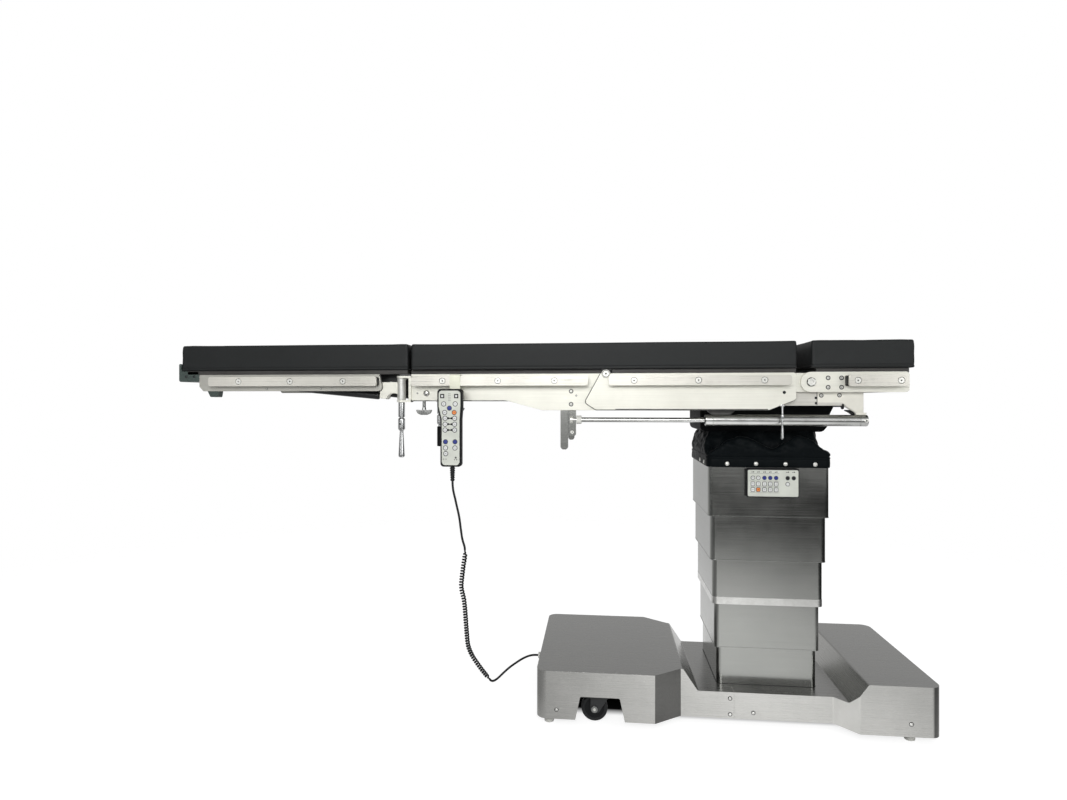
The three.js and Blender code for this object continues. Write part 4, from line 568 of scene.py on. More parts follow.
class Piece:
    # One object made of several shapes, each with its own finish
    def __init__(self, name, body, slot, replaces=(), smooth=35):
        self.name, self.body, self.slotName = name, body, slot
        self.replaced, self.smooth = replaces, smooth
        self.shape = bmesh.new()
        self.finishNames = []

    def add(self, solid, finish):
        if finish not in self.finishNames:
            self.finishNames.append(finish)
        index = self.finishNames.index(finish)
        for face in solid.faces:
            face.material_index = index
        data = bpy.data.meshes.new("part")
        solid.to_mesh(data)
        solid.free()
        self.shape.from_mesh(data)
        bpy.data.meshes.remove(data)
        return self

    def plate(self, finish, outline, plane, start, end, **options):
        return self.add(prism(outline, plane, start, end, **options), finish)

    def box(self, finish, left, right, front, back, low, high, edge=0.6):
        return self.add(block(left, right, front, back, low, high, edge), finish)

    def lathe(self, finish, profile, axis, centre, steps=40):
        return self.add(turned(profile, axis, centre, steps), finish)

    def rod(self, finish, axis, centre, radius, start, end, edge=0.6, steps=40):
        return self.add(bar(axis, centre, radius, start, end, edge, steps), finish)

    def make(self, ride=True):
        data = bpy.data.meshes.new(self.name)
        self.shape.to_mesh(data)
        self.shape.free()
        data.vertices.foreach_set("co", toFrame(coordinates(data)).ravel())
        data.polygons.foreach_set("use_smooth", [True] * len(data.polygons))
        data.set_sharp_from_angle(angle=math.radians(self.smooth))
        for name in self.finishNames:
            data.materials.append(finishes[name])
        piece = placed(self.name, data)
        # Large flat faces keep flat shading beside their rounded edges
        flat = piece.modifiers.new("flat", "WEIGHTED_NORMAL")
        flat.keep_sharp = True
        if ride:
            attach(piece, self.body)
        if self.replaced:
            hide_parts(*self.replaced)
        return piece


def coordinates(data):
    points = np.zeros(len(data.vertices) * 3)
    data.vertices.foreach_get("co", points)
    return points.reshape(-1, 3)


def keep(node, finish):
    # A CAD node that stays as it is under its finish
    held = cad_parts[node]
    held.data.materials.clear()
    held.data.materials.append(finishes[finish])


# Screws, whose heads lie on a face square to Y that looks to one side

def addScrew(piece, x, z, face, side, radius, proud=0.6, finish="screwSteel"):
    # A round head with a six sided socket
    socket = circle(x, z, radius * 0.42, 6)
    piece.plate(finish, circle(x, z, radius, 28), "xz", face + side * proud, face - side * 0.4,
                holes=[socket], edge=0.25)
    # A black disc behind the socket: painted shade in its hollow
    piece.plate("keyBlack", circle(x, z, radius * 0.6, 16), "xz", face - side * 0.3, face - side * 0.1,
                edge=0)


def sunkScrew(piece, x, z, face, side, radius):
    # A countersink painted near black as shade, round a small bright head with its socket
    piece.plate("sunkSteel", circle(x, z, radius, 28), "xz", face - side * 0.6, face + side * 0.12,
                edge=0.05)
    socket = hole(x, z, radius * 0.24, 6, 0.3)
    piece.plate("screwSteel", circle(x, z, radius * 0.56, 24), "xz", face - side * 0.4, face + side * 0.45,
                holes=[socket], edge=0.15)


def dome(piece, finish, profile, axis, centre, face, side, steps=28):
    # A round head or cap whose profile lists radius and height over the face
    piece.lathe(finish, [(radius, face + side * height) for radius, height in profile], axis, centre, steps)


def domeScrew(piece, x, z, face, side, radius):
    # A domed head in the middle of a dark ring, a painted shade in the gap round it
    piece.plate("sunkSteel", circle(x, z, radius, 28), "xz", face - side * 0.4, face + side * 0.3,
                edge=0.05)
    shares = [(0, 2.4), (0.4, 2.1), (0.66, 1.3), (0.78, 0.2), (0.78, -0.3), (0, -0.3)]
    dome(piece, "pinSteel", [(radius * share, height) for share, height in shares], "y", (x, z), face, side)


def boltHead(piece, x, z, face, side, radius, height):
    # A six sided head, chamfered and dished, on a washer whose near black rim, just wider than the head, is
    # a painted shadow round it
    piece.plate("sunkSteel", circle(x, z, radius + 0.8, 36), "xz", side * face, side * (face + 1.2),
                edge=0.3)
    foot = side * (face + 1.1)
    piece.plate("screwSteel", circle(x, z, radius, 6, 0.3), "xz", foot, side * (face + height),
                holes=[hole(x, z, radius * 0.45, 24)], edge=0.8)
    piece.plate("screwSteel", circle(x, z, radius * 0.43, 24), "xz", foot, side * (face + height - 1),
                edge=0.3)


print("stage: helpers", flush=True)


# Cord: the hand control's lead, down through the curls and up to the gland

cordUpper = [
    (-855.1, -290, 664.9), (-854.6, -290, 652), (-853.2, -290, 640.6), (-851.2, -289.6, 630),
    (-848.5, -289, 618.9), (-845.9, -288.5, 606.7), (-843.2, -288, 594.5), (-840.4, -287.5, 582.3),
    (-837.9, -287, 570.1), (-836.2, -286.5, 559.2), (-834.8, -286, 548.3), (-833.8, -285.5, 538.8),
    (-832.5, -285, 529.3), (-830.8, -284.5, 515.7), (-828, -284, 502.1), (-824.6, -283.4, 491),
    (-823, -283.1, 484), (-822.6, -283, 477.8),
]
cordCurl = [
    (-822.6, -283, 477.4), (-822.2, -282.9, 470), (-823.5, -282, 455.7), (-826.9, -280, 436.2),
    (-829.9, -277.6, 416.5), (-832.6, -275, 396.7), (-834.6, -272, 376.8), (-832.7, -269, 359.7),
    (-829.2, -266, 342.6), (-827.2, -261, 317.8), (-826.3, -256, 293.1), (-825.2, -246, 248.7),
    (-823, -235, 203.5), (-818.5, -229, 184.9), (-811.3, -222, 166), (-801.2, -215, 147),
    (-789.4, -207, 126.5), (-777.4, -198, 107), (-769.3, -192, 94.6),
]
cordLower = [
    (-769.1, -191.9, 94.3), (-766.5, -189.9, 90.3), (-762.5, -185.8, 86.9), (-756.5, -180, 86.6),
    (-749.7, -173, 89.3), (-742, -165.7, 94.7), (-732.5, -157.5, 102), (-722.3, -149, 109.4),
    (-711.7, -140.5, 115.8), (-701.1, -132, 121), (-687.8, -121, 127),
    (-674.3, -110, 131), (-664, -100, 131.8), (-655, -91, 130.6), (-648, -86, 129.4), (-640.4, -86, 129.4),
]
cord = dict(diameter=6, sides=14, step=3, curlDiameter=14, curlWire=4.8, curlSides=10, curlCount=50,
            curlSteps=14, curlPathStep=0.5)


def cordPiece(name, centres, bodies, replaced, diameter=cord["diameter"], sides=cord["sides"]):
    # A stretch on one body rides with it; a stretch between two bodies stays where it is
    piece = Piece(name, bodies[0], "black_rubber", replaced, smooth=60)
    piece.add(tube(centres, diameter / 2, sides), "cordRubber")
    made = piece.make(ride=len(bodies) == 1)
    if len(bodies) == 2:
        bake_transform(made)


def curls():
    # The wound stretch: its wire runs straight for one diameter at both ends
    path = smoothPath(cordCurl, cord["curlPathStep"])
    lengths = wayAlong(path)
    perCurl, wire = cord["curlSteps"], cord["curlWire"]
    total = cord["curlCount"] * perCurl
    along = wire + (lengths[-1] - 2 * wire) * np.linspace(0, 1, total + 1)
    centres = evenly(path, lengths, along)
    normals, others = framesAlong(centres)
    steps = np.arange(total + 1)
    ease = np.clip(np.minimum(steps, total - steps) / perCurl, 0, 1)
    # The curls sit a little unevenly, as a used cord's do
    uneven = 1 + 0.03 * np.sin(steps / perCurl * 0.9) + 0.02 * np.sin(steps / perCurl * 2.3 + 1)
    winding = ((cord["curlDiameter"] - wire) / 2 * ease * np.minimum(uneven, 1.0))[:, None]
    angle = steps / perCurl * math.tau
    wound = centres + (normals * np.cos(angle)[:, None] + others * np.sin(angle)[:, None]) * winding
    return np.vstack([path[0], wound, path[-1]])


upper = smoothPath(cordUpper, cord["step"])
third = len(upper) // 3
cordPiece("cordUpperFirst", upper[:third + 1], ("guide", "seat"), ["cord_upper"])
cordPiece("cordUpperSecond", upper[third:2 * third + 1], ("cross", "guide"), [])
cordPiece("cordUpperThird", upper[2 * third:], ("column_top", "cross"), [])
cordPiece("cordCurls", curls(), ("base", "column_top"), ["cord_curl"], cord["curlWire"], cord["curlSides"])
cordPiece("cordLower", smoothPath(cordLower, cord["step"]), ("base",), ["cord_lower"])
print("stage: cord", flush=True)


# Base: cover, chassis, casters and lock feet

base = dict(foot=-631, head=411, halfWidth=255, waist=198, low=20, lobeTop=149, spineTop=91, corner=28,
            bend=7, wall=3, edge=3.2, footFlank=(-312, -240), headFlank=(160, 208), footSlope=(-233, -194),
            headSlope=(189, 231), over=20, mouth=8)
window = dict(foot=-527, head=-391, low=12, top=83, lean=15, corner=5, reach=300)
seam = dict(x=-98, half=1, wallY=-196.2, spineY=-160, outY=-260, low=10, spineLow=89.6, high=120)
baseScrews = dict(radius=5.8, waist=((-108, 74), (-108, 31), (-47, 38)), lobes=((-576, 45), (334, 53)))
gland = dict(place=(-86, 129.4), hole=6.4, holeReach=(-640, -620))
column = dict(halfX=134, halfY=140, grow=6.75, corner=14, wall=4, feet=(88, 194, 317, 440, 563),
              tops=(291, 391, 491, 591, 712),
              bodies=("base", "column_2", "column_3", "column_4", "column_top"))


def coverPlan(inset):
    wide, waist, corner = base["halfWidth"] - inset, base["waist"] - inset, base["corner"] - inset
    footWide, footWaist = base["footFlank"]
    headWaist, headWide = base["headFlank"]
    bend = base["bend"]
    half = [(base["foot"] + inset, wide, corner), (footWide - inset, wide, bend),
            (footWaist - inset, waist, bend), (headWaist + inset, waist, bend),
            (headWide + inset, wide, bend), (base["head"] - inset, wide, corner)]
    return rounded(half[::-1] + [(x, -y, radius) for x, y, radius in half], 8)


def coverShape(inset, low, edge):
    # The plan's prism, kept where the side's prism is: two lobes with a lower spine between them
    foot, head = base["foot"] + inset - base["over"], base["head"] - inset + base["over"]
    top, spine = base["lobeTop"] - inset, base["spineTop"] - inset
    (footTop, footSpine), (headSpine, headTop) = base["footSlope"], base["headSlope"]
    bend, reach = base["bend"], base["halfWidth"] + base["over"]
    side = rounded([(foot, low), (head, low), (head, top), (headTop + inset, top, bend),
                    (headSpine + inset, spine, bend), (footSpine - inset, spine, bend),
                    (footTop - inset, top, bend), (foot, top)], 4)
    plan = prism(coverPlan(inset), "xy", low, top + 30, edge=0)
    return softened(combined(plan, prism(side, "xz", -reach, reach, edge=0), "INTERSECT"), edge, 3, 40)


def sleeveOutline(index, grow=0.0):
    halfX = column["halfX"] + column["grow"] * index + grow
    halfY = column["halfY"] + column["grow"] * index + grow
    return rectangle(-halfX, halfX, -halfY, halfY, max(column["corner"] + grow, 2), 8)


windowOutline = rounded([(window["foot"], window["low"]), (window["head"], window["low"]),
                         (window["head"] - window["lean"], window["top"], window["corner"]),
                         (window["foot"] + window["lean"], window["top"], window["corner"])])
seamLeft, seamRight = seam["x"] - seam["half"], seam["x"] + seam["half"]
cuts = [
    coverShape(base["wall"], base["low"] - base["mouth"], 0),
    prism(windowOutline, "xz", -window["reach"], window["reach"], edge=0),
    prism(sleeveOutline(0, 0.4), "xy", 80, 100, edge=0),
    bar("x", gland["place"], gland["hole"], *gland["holeReach"]),
    block(seamLeft, seamRight, seam["wallY"], seam["outY"], seam["low"], seam["high"], edge=0),
    block(seamLeft, seamRight, seam["spineY"], seam["outY"], seam["spineLow"], seam["high"], edge=0),
]
cover = coverShape(0, base["low"], base["edge"])
for cut in cuts:
    cover = combined(cover, cut)
basePiece = Piece("baseCover", "base", "stainless", ["base_cover"], smooth=30).add(cover, "sheetSteel")
for x, z in baseScrews["waist"]:
    domeScrew(basePiece, x, z, -base["waist"], -1, baseScrews["radius"])
for x, z in baseScrews["lobes"]:
    for side in (-1, 1):
        domeScrew(basePiece, x, z, side * base["halfWidth"], side, baseScrews["radius"])
# A thin rubber strip closes the cover to the column, in near black steel that also stands for the shade in
# the gap
basePiece.plate("sunkSteel", sleeveOutline(0, 1.4), "xy", base["spineTop"] - 0.4, base["spineTop"] + 0.6,
                holes=[sleeveOutline(0, 0.3)], edge=0.2)
basePiece.make()

caster = dict(trail=22, axle=37.5, top=79.7, arm=11, armNear=13.5, armFar=17.5, reach=19)
casterPlaces = {"foot_right": (-452, -205), "foot_left": (-452, 205), "head_right": (272, -175),
                "head_left": (272, 175)}
casterStem = [(0, 79), (16, 79), (16, 79.6), (8, 79.6), (8, 101.7), (0, 101.7)]
casterTread = [(27, -11), (31, -12), (34, -11), (35.6, -8), (36, -3), (36, 3), (35.6, 8), (34, 11),
               (31, 12), (27, 11)]
casterCore = [(6.3, -11.5), (11, -11.5), (12, -9.5), (24, -8), (27.5, -9.5), (27.5, 9.5), (24, 8),
              (12, 9.5), (11, 11.5), (6.3, 11.5)]
lockPlaces = {"foot_right": (-598, -222), "foot_left": (-598, 222), "head_right": (343, -222),
              "head_left": (343, 222)}
lockPad = [(0, 0), (11.6, 0), (12.6, 0.6), (13, 1.8), (13, 5.2), (12.4, 5.6), (12.4, 6.6), (13, 7),
           (13, 12), (11.6, 13.8), (9.4, 14), (0, 14)]
lockStem = [(0, 13.5), (9, 13.5), (9, 73.2), (8.2, 74), (0, 74)]
chassis = dict(inset=6, plate=7.7, lockHole=9.3, casterHole=8.3, boss=15)

# The chassis under the cover: a plate with a guide boss over each lock foot
chassisLow, chassisHigh = (corner.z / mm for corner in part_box("chassis"))
stemHoles = [hole(x, y, chassis["lockHole"]) for x, y in lockPlaces.values()]
stemHoles += [hole(x, y, chassis["casterHole"]) for x, y in casterPlaces.values()]
chassisPiece = Piece("chassisPlate", "base", "black_paint", ["chassis"])
chassisPiece.plate("darkSteel", coverPlan(chassis["inset"]), "xy", chassisHigh - chassis["plate"],
                   chassisHigh, holes=stemHoles, edge=0.5)
bore, boss, bossTop = chassis["lockHole"], chassis["boss"], chassisHigh - 7
bossProfile = [(bore, chassisLow), (boss - 1, chassisLow), (boss, chassisLow + 1), (boss, bossTop),
               (bore, bossTop)]
for place in lockPlaces.values():
    chassisPiece.lathe("darkSteel", bossProfile, "z", place)
chassisPiece.make()

for place, (x, y) in casterPlaces.items():
    axle = (x - caster["trail"], caster["axle"])
    left, right, foot = axle[0] - caster["arm"], x + caster["reach"], axle[1] - caster["arm"]
    near, far = caster["armNear"], caster["armFar"]
    fork = Piece(f"casterFork_{place}", f"caster_{place}", "black_paint", [f"caster_fork_{place}"])
    arm = rounded([(left, foot, 11), (axle[0] + caster["arm"], foot, 11), (right, 75), (right, 79),
                   (left, 79)])
    for side in (-1, 1):
        fork.plate("blackPaint", arm, "xz", y + side * near, y + side * far, edge=0.8)
        fork.rod("castSteel", "y", axle, 9, y + side * (far - 0.5), y + side * (far + 4), edge=1)
        fork.plate("screwSteel", circle(*axle, 4, 6), "xz", y + side * (far + 3.5), y + side * (far + 4.7),
                   edge=0.2)
    fork.box("blackPaint", left, right, y - far, y + far, 75.2, caster["top"], edge=0.8)
    fork.rod("screwSteel", "y", axle, 5.8, y - 17, y + 17)
    fork.lathe("blackPaint", casterStem, "z", (x, y))
    fork.make()
    # A tread with round shoulders on a core with a hub and a shallow dish
    wheel = Piece(f"casterWheel_{place}", f"wheel_{place}", "black_rubber", [f"caster_wheel_{place}"],
                  smooth=40)
    wheel.lathe("wheelRubber", [(radius, y + along) for radius, along in casterTread], "y", axle, 56)
    wheel.lathe("blackPlastic", [(radius, y + along) for radius, along in casterCore], "y", axle, 56)
    wheel.make()

for place, centre in lockPlaces.items():
    foot = Piece(f"lockFoot_{place}", f"lock_{place}", "pale_plastic", [f"lock_foot_{place}"])
    foot.lathe("palePlastic", lockPad, "z", centre)
    foot.lathe("screwSteel", lockStem, "z", centre)
    foot.make()

glandProfile = [(3.2, -638.8), (4.6, -640), (8.2, -640), (9, -639), (9, -636.5), (8.2, -636), (8.2, -635),
                (9, -634.4), (9, -631.3), (6, -631.3), (6, -622.3), (0, -622.3), (0, -638.8)]
glandPiece = Piece("cordGland", "base", "pale_plastic", ["cord_gland"])
glandPiece.lathe("palePlastic", glandProfile, "x", gland["place"])
glandPiece.make()
print("stage: base", flush=True)


# Column: five sleeves, the head plate with its yoke, the ram and the control panel

tilt = dict(z=840, hole=10.3, near=30, far=42)
paintedHighlightSleeve = 2
yokeOutline = rounded([(-60, 701), (60, 701), (60, 780, 8), (18, 800, 20), (15, 840), (13, 848, 10),
                       (0, 855, 12), (-13, 848, 10), (-15, 840), (-18, 800, 20), (-60, 780, 8)])


def sleeve(piece, index):
    foot, top = column["feet"][index], column["tops"][index]
    bore = sleeveOutline(index, -column["wall"])
    piece.plate("columnSteel", sleeveOutline(index), "xy", foot, top, holes=[bore], edge=0.7)
    if index > 0:
        piece.plate("blackPlastic", sleeveOutline(index, -0.5), "xy", foot + 0.2, foot + 10,
                    holes=[sleeveOutline(index - 1, 0.3)], edge=0.3)
        # The foot is rolled outward a little; on the third sleeve the rolled band is tall and in bright
        # polished steel, a painted highlight
        height, finish = (20, "pinSteel") if index == paintedHighlightSleeve else (2.4, "columnSteel")
        piece.plate(finish, sleeveOutline(index, 0.7), "xy", foot, foot + height,
                    holes=[sleeveOutline(index, -2)])


for index in range(4):
    node = f"column_sleeve_{index + 1}"
    piece = Piece(f"columnSleeve{index + 1}", column["bodies"][index], "stainless", [node], smooth=30)
    sleeve(piece, index)
    piece.make()
topSleeve = Piece("columnHead", "column_top", "stainless", ["column_sleeve_5"], smooth=30)
sleeve(topSleeve, 4)
topSleeve.plate("darkSteel", sleeveOutline(4, -3.5), "xy", 694, 702, edge=0.5)
for side in (-1, 1):
    topSleeve.plate("darkSteel", yokeOutline, "yz", side * tilt["near"], side * tilt["far"],
                    holes=[hole(0, tilt["z"], tilt["hole"])], edge=0.8)
topSleeve.make()
keep("lift_ram_barrel", "barSteel")
keep("tilt_cross", "barSteel")

ram = dict(foot=251, top=693.7, radius=37.7, narrower=7, stage=110.67, collar=2.5, topRadius=16.7,
           shortest=0.12)
ramProfile = [(0, ram["foot"]), (37.5, ram["foot"])]
for stage in range(4):
    radius, top = ram["radius"] - ram["narrower"] * stage, ram["foot"] + ram["stage"] * (stage + 1)
    collar = radius + ram["collar"] if stage < 3 else radius
    ramProfile += [(radius, top - ram["stage"] + 1), (radius, top - 6), (collar, top - 5),
                   (collar, top - 1), (radius - 2, top)]
ramProfile[-1:] = [(ram["topRadius"], ram["top"]), (0, ram["top"])]
ramPiece = Piece("liftRam", "column_top", "chrome", ["lift_ram_plunger"])
ramPiece.lathe("chromed", ramProfile, "z", (0, 0))
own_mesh(ramPiece.make())

panel = dict(left=-62, right=77, low=619, high=698, back=-167.3, proud=14, keyWide=11.5, keyTall=12.2,
             ring=1.4, columns=(-44.7, -30.3, -14.1, 1.1, 16.6), further=(47, 62.7),
             rows=(672, 655.5, 639.9), rules=(684, 663.6, 647.6, 631.5), markLow=686.6, markHigh=689.2)
panelFace = panel["back"] - panel["proud"]
keyFace = panelFace - 0.3
panelPiece = Piece("controlPanel", "column_top", "black_plastic", ["control_panel"])
panelPiece.plate("blackPlastic", rectangle(panel["left"], panel["right"], panel["low"], panel["high"], 5),
                 "xz", panelFace, panel["back"], edge=1.6, segments=3)
panelPiece.plate("keypadFace", rectangle(panel["left"] + 4, panel["right"] - 2, panel["low"] + 2.4,
                                         panel["high"] - 4.5, 3.5), "xz", panelFace - 0.35, panelFace + 1,
                 edge=0.15)


def panelKey(x, z, finish, disc=True, marked=True):
    # A dark ring, the raised cap in it, and a small generic mark
    halfWide, ring = panel["keyWide"] / 2, panel["ring"]
    halfTall = halfWide if disc else panel["keyTall"] / 2
    radius = halfWide - 0.2 if disc else 2.6
    cap = rectangle(x - halfWide + ring, x + halfWide - ring, z - halfTall + ring, z + halfTall - ring,
                    max(radius - ring, 0.6), 6)
    panelPiece.plate("keyRing", tile(x, z, halfWide, halfTall, radius, 6), "xz", keyFace - 0.5,
                     keyFace + 0.3, edge=0.12)
    panelPiece.plate(finish, cap, "xz", keyFace - 1.1, keyFace, edge=0.35)
    if marked:
        panelPiece.plate("keyBlack", tile(x, z, 1.6, 0.5, 0.3, 2), "xz", keyFace - 1.2, keyFace - 1, edge=0)


topRow, middleRow, lowRow = panel["rows"]
for x, finish in zip(panel["columns"], ("keyWhite", "keyWhite", "keyBlue", "keyBlue", "keyBlue")):
    panelKey(x, topRow, finish)
for x in panel["further"]:
    panelKey(x, topRow, "keyBlack", marked=False)
panelKey(panel["further"][0], middleRow, "keyWhite", marked=False)
for index, x in enumerate(panel["columns"]):
    panelKey(x, middleRow, "keyWhite", disc=False)
    panelKey(x, lowRow, "keyOrange" if index == 1 else "keyWhite", disc=False)
for x in (*panel["columns"], *panel["further"]):
    for step in (-1, 1):
        mark = rectangle(x + step * 2 - 1.3, x + step * 2 + 1.3, panel["markLow"],
                         panel["markHigh"] + step * 0.4, 0.4, 2)
        panelPiece.plate("keyBlack", mark, "xz", keyFace - 0.15, keyFace + 0.2, edge=0)
for z in panel["rules"]:
    rule = rectangle(panel["left"] + 9, panel["right"] - 52, z - 0.25, z + 0.25)
    panelPiece.plate("keyRing", rule, "xz", keyFace - 0.1, keyFace + 0.2, edge=0)
panelPiece.make()
print("stage: column", flush=True)


# Hood and guide frame over the tilt head, and the shift cylinder beside it

hood = dict(foot=-176, low=795, high=871.7, halfWidth=120, wall=3.5, mouth=(-154, 150, -114, 114),
            mouthCorner=20)


def hoodOutline(inset, low, high):
    foot = hood["foot"] + inset
    return rounded([(foot, high), (foot, low, 14), (158 - inset, low, 16), (172 - inset, 812, 14),
                    (176 - inset, 843, 30), (190 - inset, high)], 6)


hoodBody = prism(hoodOutline(0, hood["low"], hood["high"]), "xz", -hood["halfWidth"], hood["halfWidth"],
                 edge=5, segments=4)
inside = hood["halfWidth"] - hood["wall"]
hoodBody = combined(hoodBody, prism(hoodOutline(hood["wall"], hood["low"] + hood["wall"], 880), "xz",
                                    -inside, inside, edge=0))
hoodBody = combined(hoodBody, prism(rectangle(*hood["mouth"], hood["mouthCorner"]), "xy", 780, 805, edge=0))
Piece("tiltHood", "guide", "black_plastic", ["tilt_hood"], smooth=30).add(hoodBody, "hoodPlastic").make()

guide = dict(foot=-190, head=226, outer=230, inner=222, under=229.5, plate=231.2, deck=872, deckTop=880,
             cylinderHub=(-133, 885), hubRadius=47)
guideWall = rounded([(-190, 869), (168, 869), (173, 872, 3), (183, 864, 6), (201, 853, 12), (212, 843),
                     (226, 843), (226, 908, 4), (-190, 908, 4)], 7)
guideCover = rounded([(110, 877), (172, 877, 2), (184, 867, 4), (202, 855, 10), (213, 845), (225, 845),
                      (225, 907), (110, 907)], 5)
guideStrap = rounded([(182, 858), (192, 858, 6), (203, 853, 10), (211, 845, 8), (214, 838), (204, 838),
                      (199, 845, 8), (191, 851, 8), (182, 855.5)], 5)
guideEye = rounded([(-15, 879), (-15, 840), (-13, 829, 8), (0, 825, 12), (13, 829, 8), (15, 840),
                    (15, 879)])
guidePin = [(0, 150), (1.9, 150), (1.9, 172), (7.4, 172), (7.9, 172.6), (7.9, 175.8), (7.4, 176.4),
            (0, 176.4)]
guideNotches = ((106, 889.5), (106.5, 875.5))
coverScrews, wallScrews = ((119.3, 896), (165, 896.5)), ((-160, 893), (-60, 893))
guidePiece = Piece("guideFrame", "guide", "cream_paint", ["guide_frame"])
guidePiece.box("creamPaint", guide["foot"], -guide["foot"], -guide["under"], guide["under"],
               guide["deck"], guide["deckTop"], edge=0.8)
for side in (-1, 1):
    guidePiece.plate("wallSteel", guideWall, "xz", side * guide["outer"], side * guide["inner"], edge=0.9)
    # A cover plate over the head end, with its joint, its notches and its screws
    guidePiece.plate("creamPaint", guideCover, "xz", side * guide["under"], side * guide["plate"],
                     edge=0.5)
    # The joint and the notches are near black strip and blocks: painted shade in their gaps
    guidePiece.box("sunkSteel", 108.2, 109.6, side * 229.6, side * 230.4, 870, 906, edge=0)
    for x, z in guideNotches:
        guidePiece.box("keyBlack", x - 3, x + 2.5, side * 229, side * 230.4, z - 3.2, z + 3.2, edge=0.3)
    guidePiece.plate("blackPlastic", guideStrap, "xz", side * 214, side * 227)
    guidePiece.box("creamPaint", 168, 206, side * 205, side * 227, 868.8, 872.4, edge=0.5)
    guidePiece.lathe("keyBlack", guidePin, "x", (side * 226, 867.4), 24)
    guidePiece.box("creamPaint", guide["foot"], guide["head"], side * 204.5, side * 229, 903, 907.7,
                   edge=0.7)
    guidePiece.plate("darkSteel", guideEye, "xz", side * tilt["near"], side * tilt["far"],
                     holes=[hole(0, tilt["z"], tilt["hole"])], edge=0.8)
    for x, z in coverScrews:
        sunkScrew(guidePiece, x, z, side * guide["plate"], side, 5.7)
    for x, z in wallScrews:
        sunkScrew(guidePiece, x, z, side * guide["outer"], side, 5.5)
hub = arc(*guide["cylinderHub"], guide["hubRadius"], math.pi * 1.082, math.pi * 1.918, 40)
guidePiece.plate("darkSteel", hub, "xz", -208, -192, edge=1.2)
guidePiece.box("creamPaint", 205, 231, -236, -216, 845.3, 851)
guidePiece.make()

# The cylinder has a seal at its foot end and a cross pin at its head end
shift = dict(axis=(-226, 830), pin=(229, 830), rod=6.5)
cylinderProfile = [(6.9, -179), (12.5, -179), (14.6, -178), (15, -176.5), (15, -160), (14.2, -159.4),
                   (14.2, -158), (15, -157.4), (15, 214), (14.2, 214.6), (14.2, 216), (15, 216.6),
                   (15, 233.5), (14.2, 235.4), (12.5, 236), (0, 236), (0, 216), (6.9, 216)]
sealProfile = [(6.8, -180.4), (10.5, -180.4), (10.5, -179), (6.8, -179)]
rodNut = [(6.6, -523), (11, -523), (11.5, -522), (11.5, -510), (11, -509), (6.6, -509)]
cylinder = Piece("shiftCylinder", "guide", "stainless", ["shift_cylinder"])
cylinder.lathe("barSteel", cylinderProfile, "x", shift["axis"], 48)
cylinder.lathe("wheelRubber", sealProfile, "x", shift["axis"])
cylinder.rod("screwSteel", "y", shift["pin"], 5, -244, -230, edge=0.8)
# A black hexagon on the pin's end: painted shade in its socket
cylinder.plate("keyBlack", circle(*shift["pin"], 2.2, 6), "xz", -244.1, -243.9, edge=0)
cylinder.make()
rod = Piece("shiftRod", "seat", "chrome", ["shift_rod"])
rod.rod("barSteel", "x", shift["axis"], shift["rod"], -537, -120, edge=0.8)
rod.lathe("palePlastic", rodNut, "x", shift["axis"])
rod.make()
print("stage: tilt head", flush=True)


# Table top: seat, back and head sections with their rails

top = dict(boardLow=955.2, boardHigh=967, seatNear=233, seatFar=241, backNear=241.3, backFar=249.3,
           legNear=246.5, legFar=254.3, railNear=265, railFar=275)
backHinge, headHinge, legPin = (-443, 955), (89, 931), (-1012, 236)
railScrew = dict(sink=8.7, floor=8.65, head=7.4, socket=2.3, spacer=9, railCorner=6.5)
railBand, headRailBand = (936, 26.5), (934, 30)


def wingScrew(piece, x, high, low, side, face):
    # A screw that hangs under the section, with a half moon wing at its foot
    y, stem = side * (face - 4), low + 14
    piece.lathe("castSteel", [(0, stem), (6, stem), (5, stem + 5), (4.6, stem + 8), (4.6, high), (0, high)],
                "z", (x, y))
    wing = rounded([(x - 23.5, low + 14.5, 2), (x - 19, low + 4, 9), (x - 9, low, 6), (x + 9, low, 6),
                    (x + 19, low + 4, 9), (x + 23.5, low + 14.5, 2), (x + 7, low + 13, 3),
                    (x - 7, low + 13, 3)], 6)
    piece.plate("castSteel", wing, "xz", y - 3.4, y + 3.4, edge=1.8, segments=3)


def rail(section, body, side, suffix, ends, band, screws, plateOuter, shadowBlockEnds=None):
    # A flat rail on round spacers; each screw sits flush in its countersink, round a dark six sided socket.
    # A rail's band is the height of its middle and its width
    z, height = band
    piece = Piece(f"{section}Rail_{suffix}", body, "stainless", [f"{section}_rail_{suffix}"])
    behind = side * (plateOuter + 0.3)
    if shadowBlockEnds:
        # A dark block behind the rail's end: painted shadow of the gap between rail and plate
        spacer = rectangle(*shadowBlockEnds, z - height / 2 + 1.5, z + height / 2 - 1.5, 4)
        piece.plate("blackPlastic", spacer, "xz", behind, side * 265.2, edge=0.5)
    outline = rectangle(*ends, z - height / 2, z + height / 2, railScrew["railCorner"], 8)
    piece.plate("railSteel", outline, "xz", side * top["railNear"], side * top["railFar"], edge=1.1,
                segments=3, holes=[hole(x, z, railScrew["sink"]) for x in screws])
    face = side * (top["railFar"] - 0.4)
    for x in screws:
        piece.plate("screwSteel", circle(x, z, railScrew["head"]), "xz", face, face - side * 5,
                    holes=[hole(x, z, railScrew["socket"], 6, 0.2)], edge=0.4)
        # A near black disc at the countersink's floor: painted shade round the head and in its socket
        piece.plate("sunkSteel", circle(x, z, railScrew["floor"]), "xz", side * 266, side * 271.5, edge=0)
        piece.rod("screwSteel", "y", (x, z), railScrew["spacer"], behind, side * 265.5, edge=0.5, steps=36)
    piece.make()


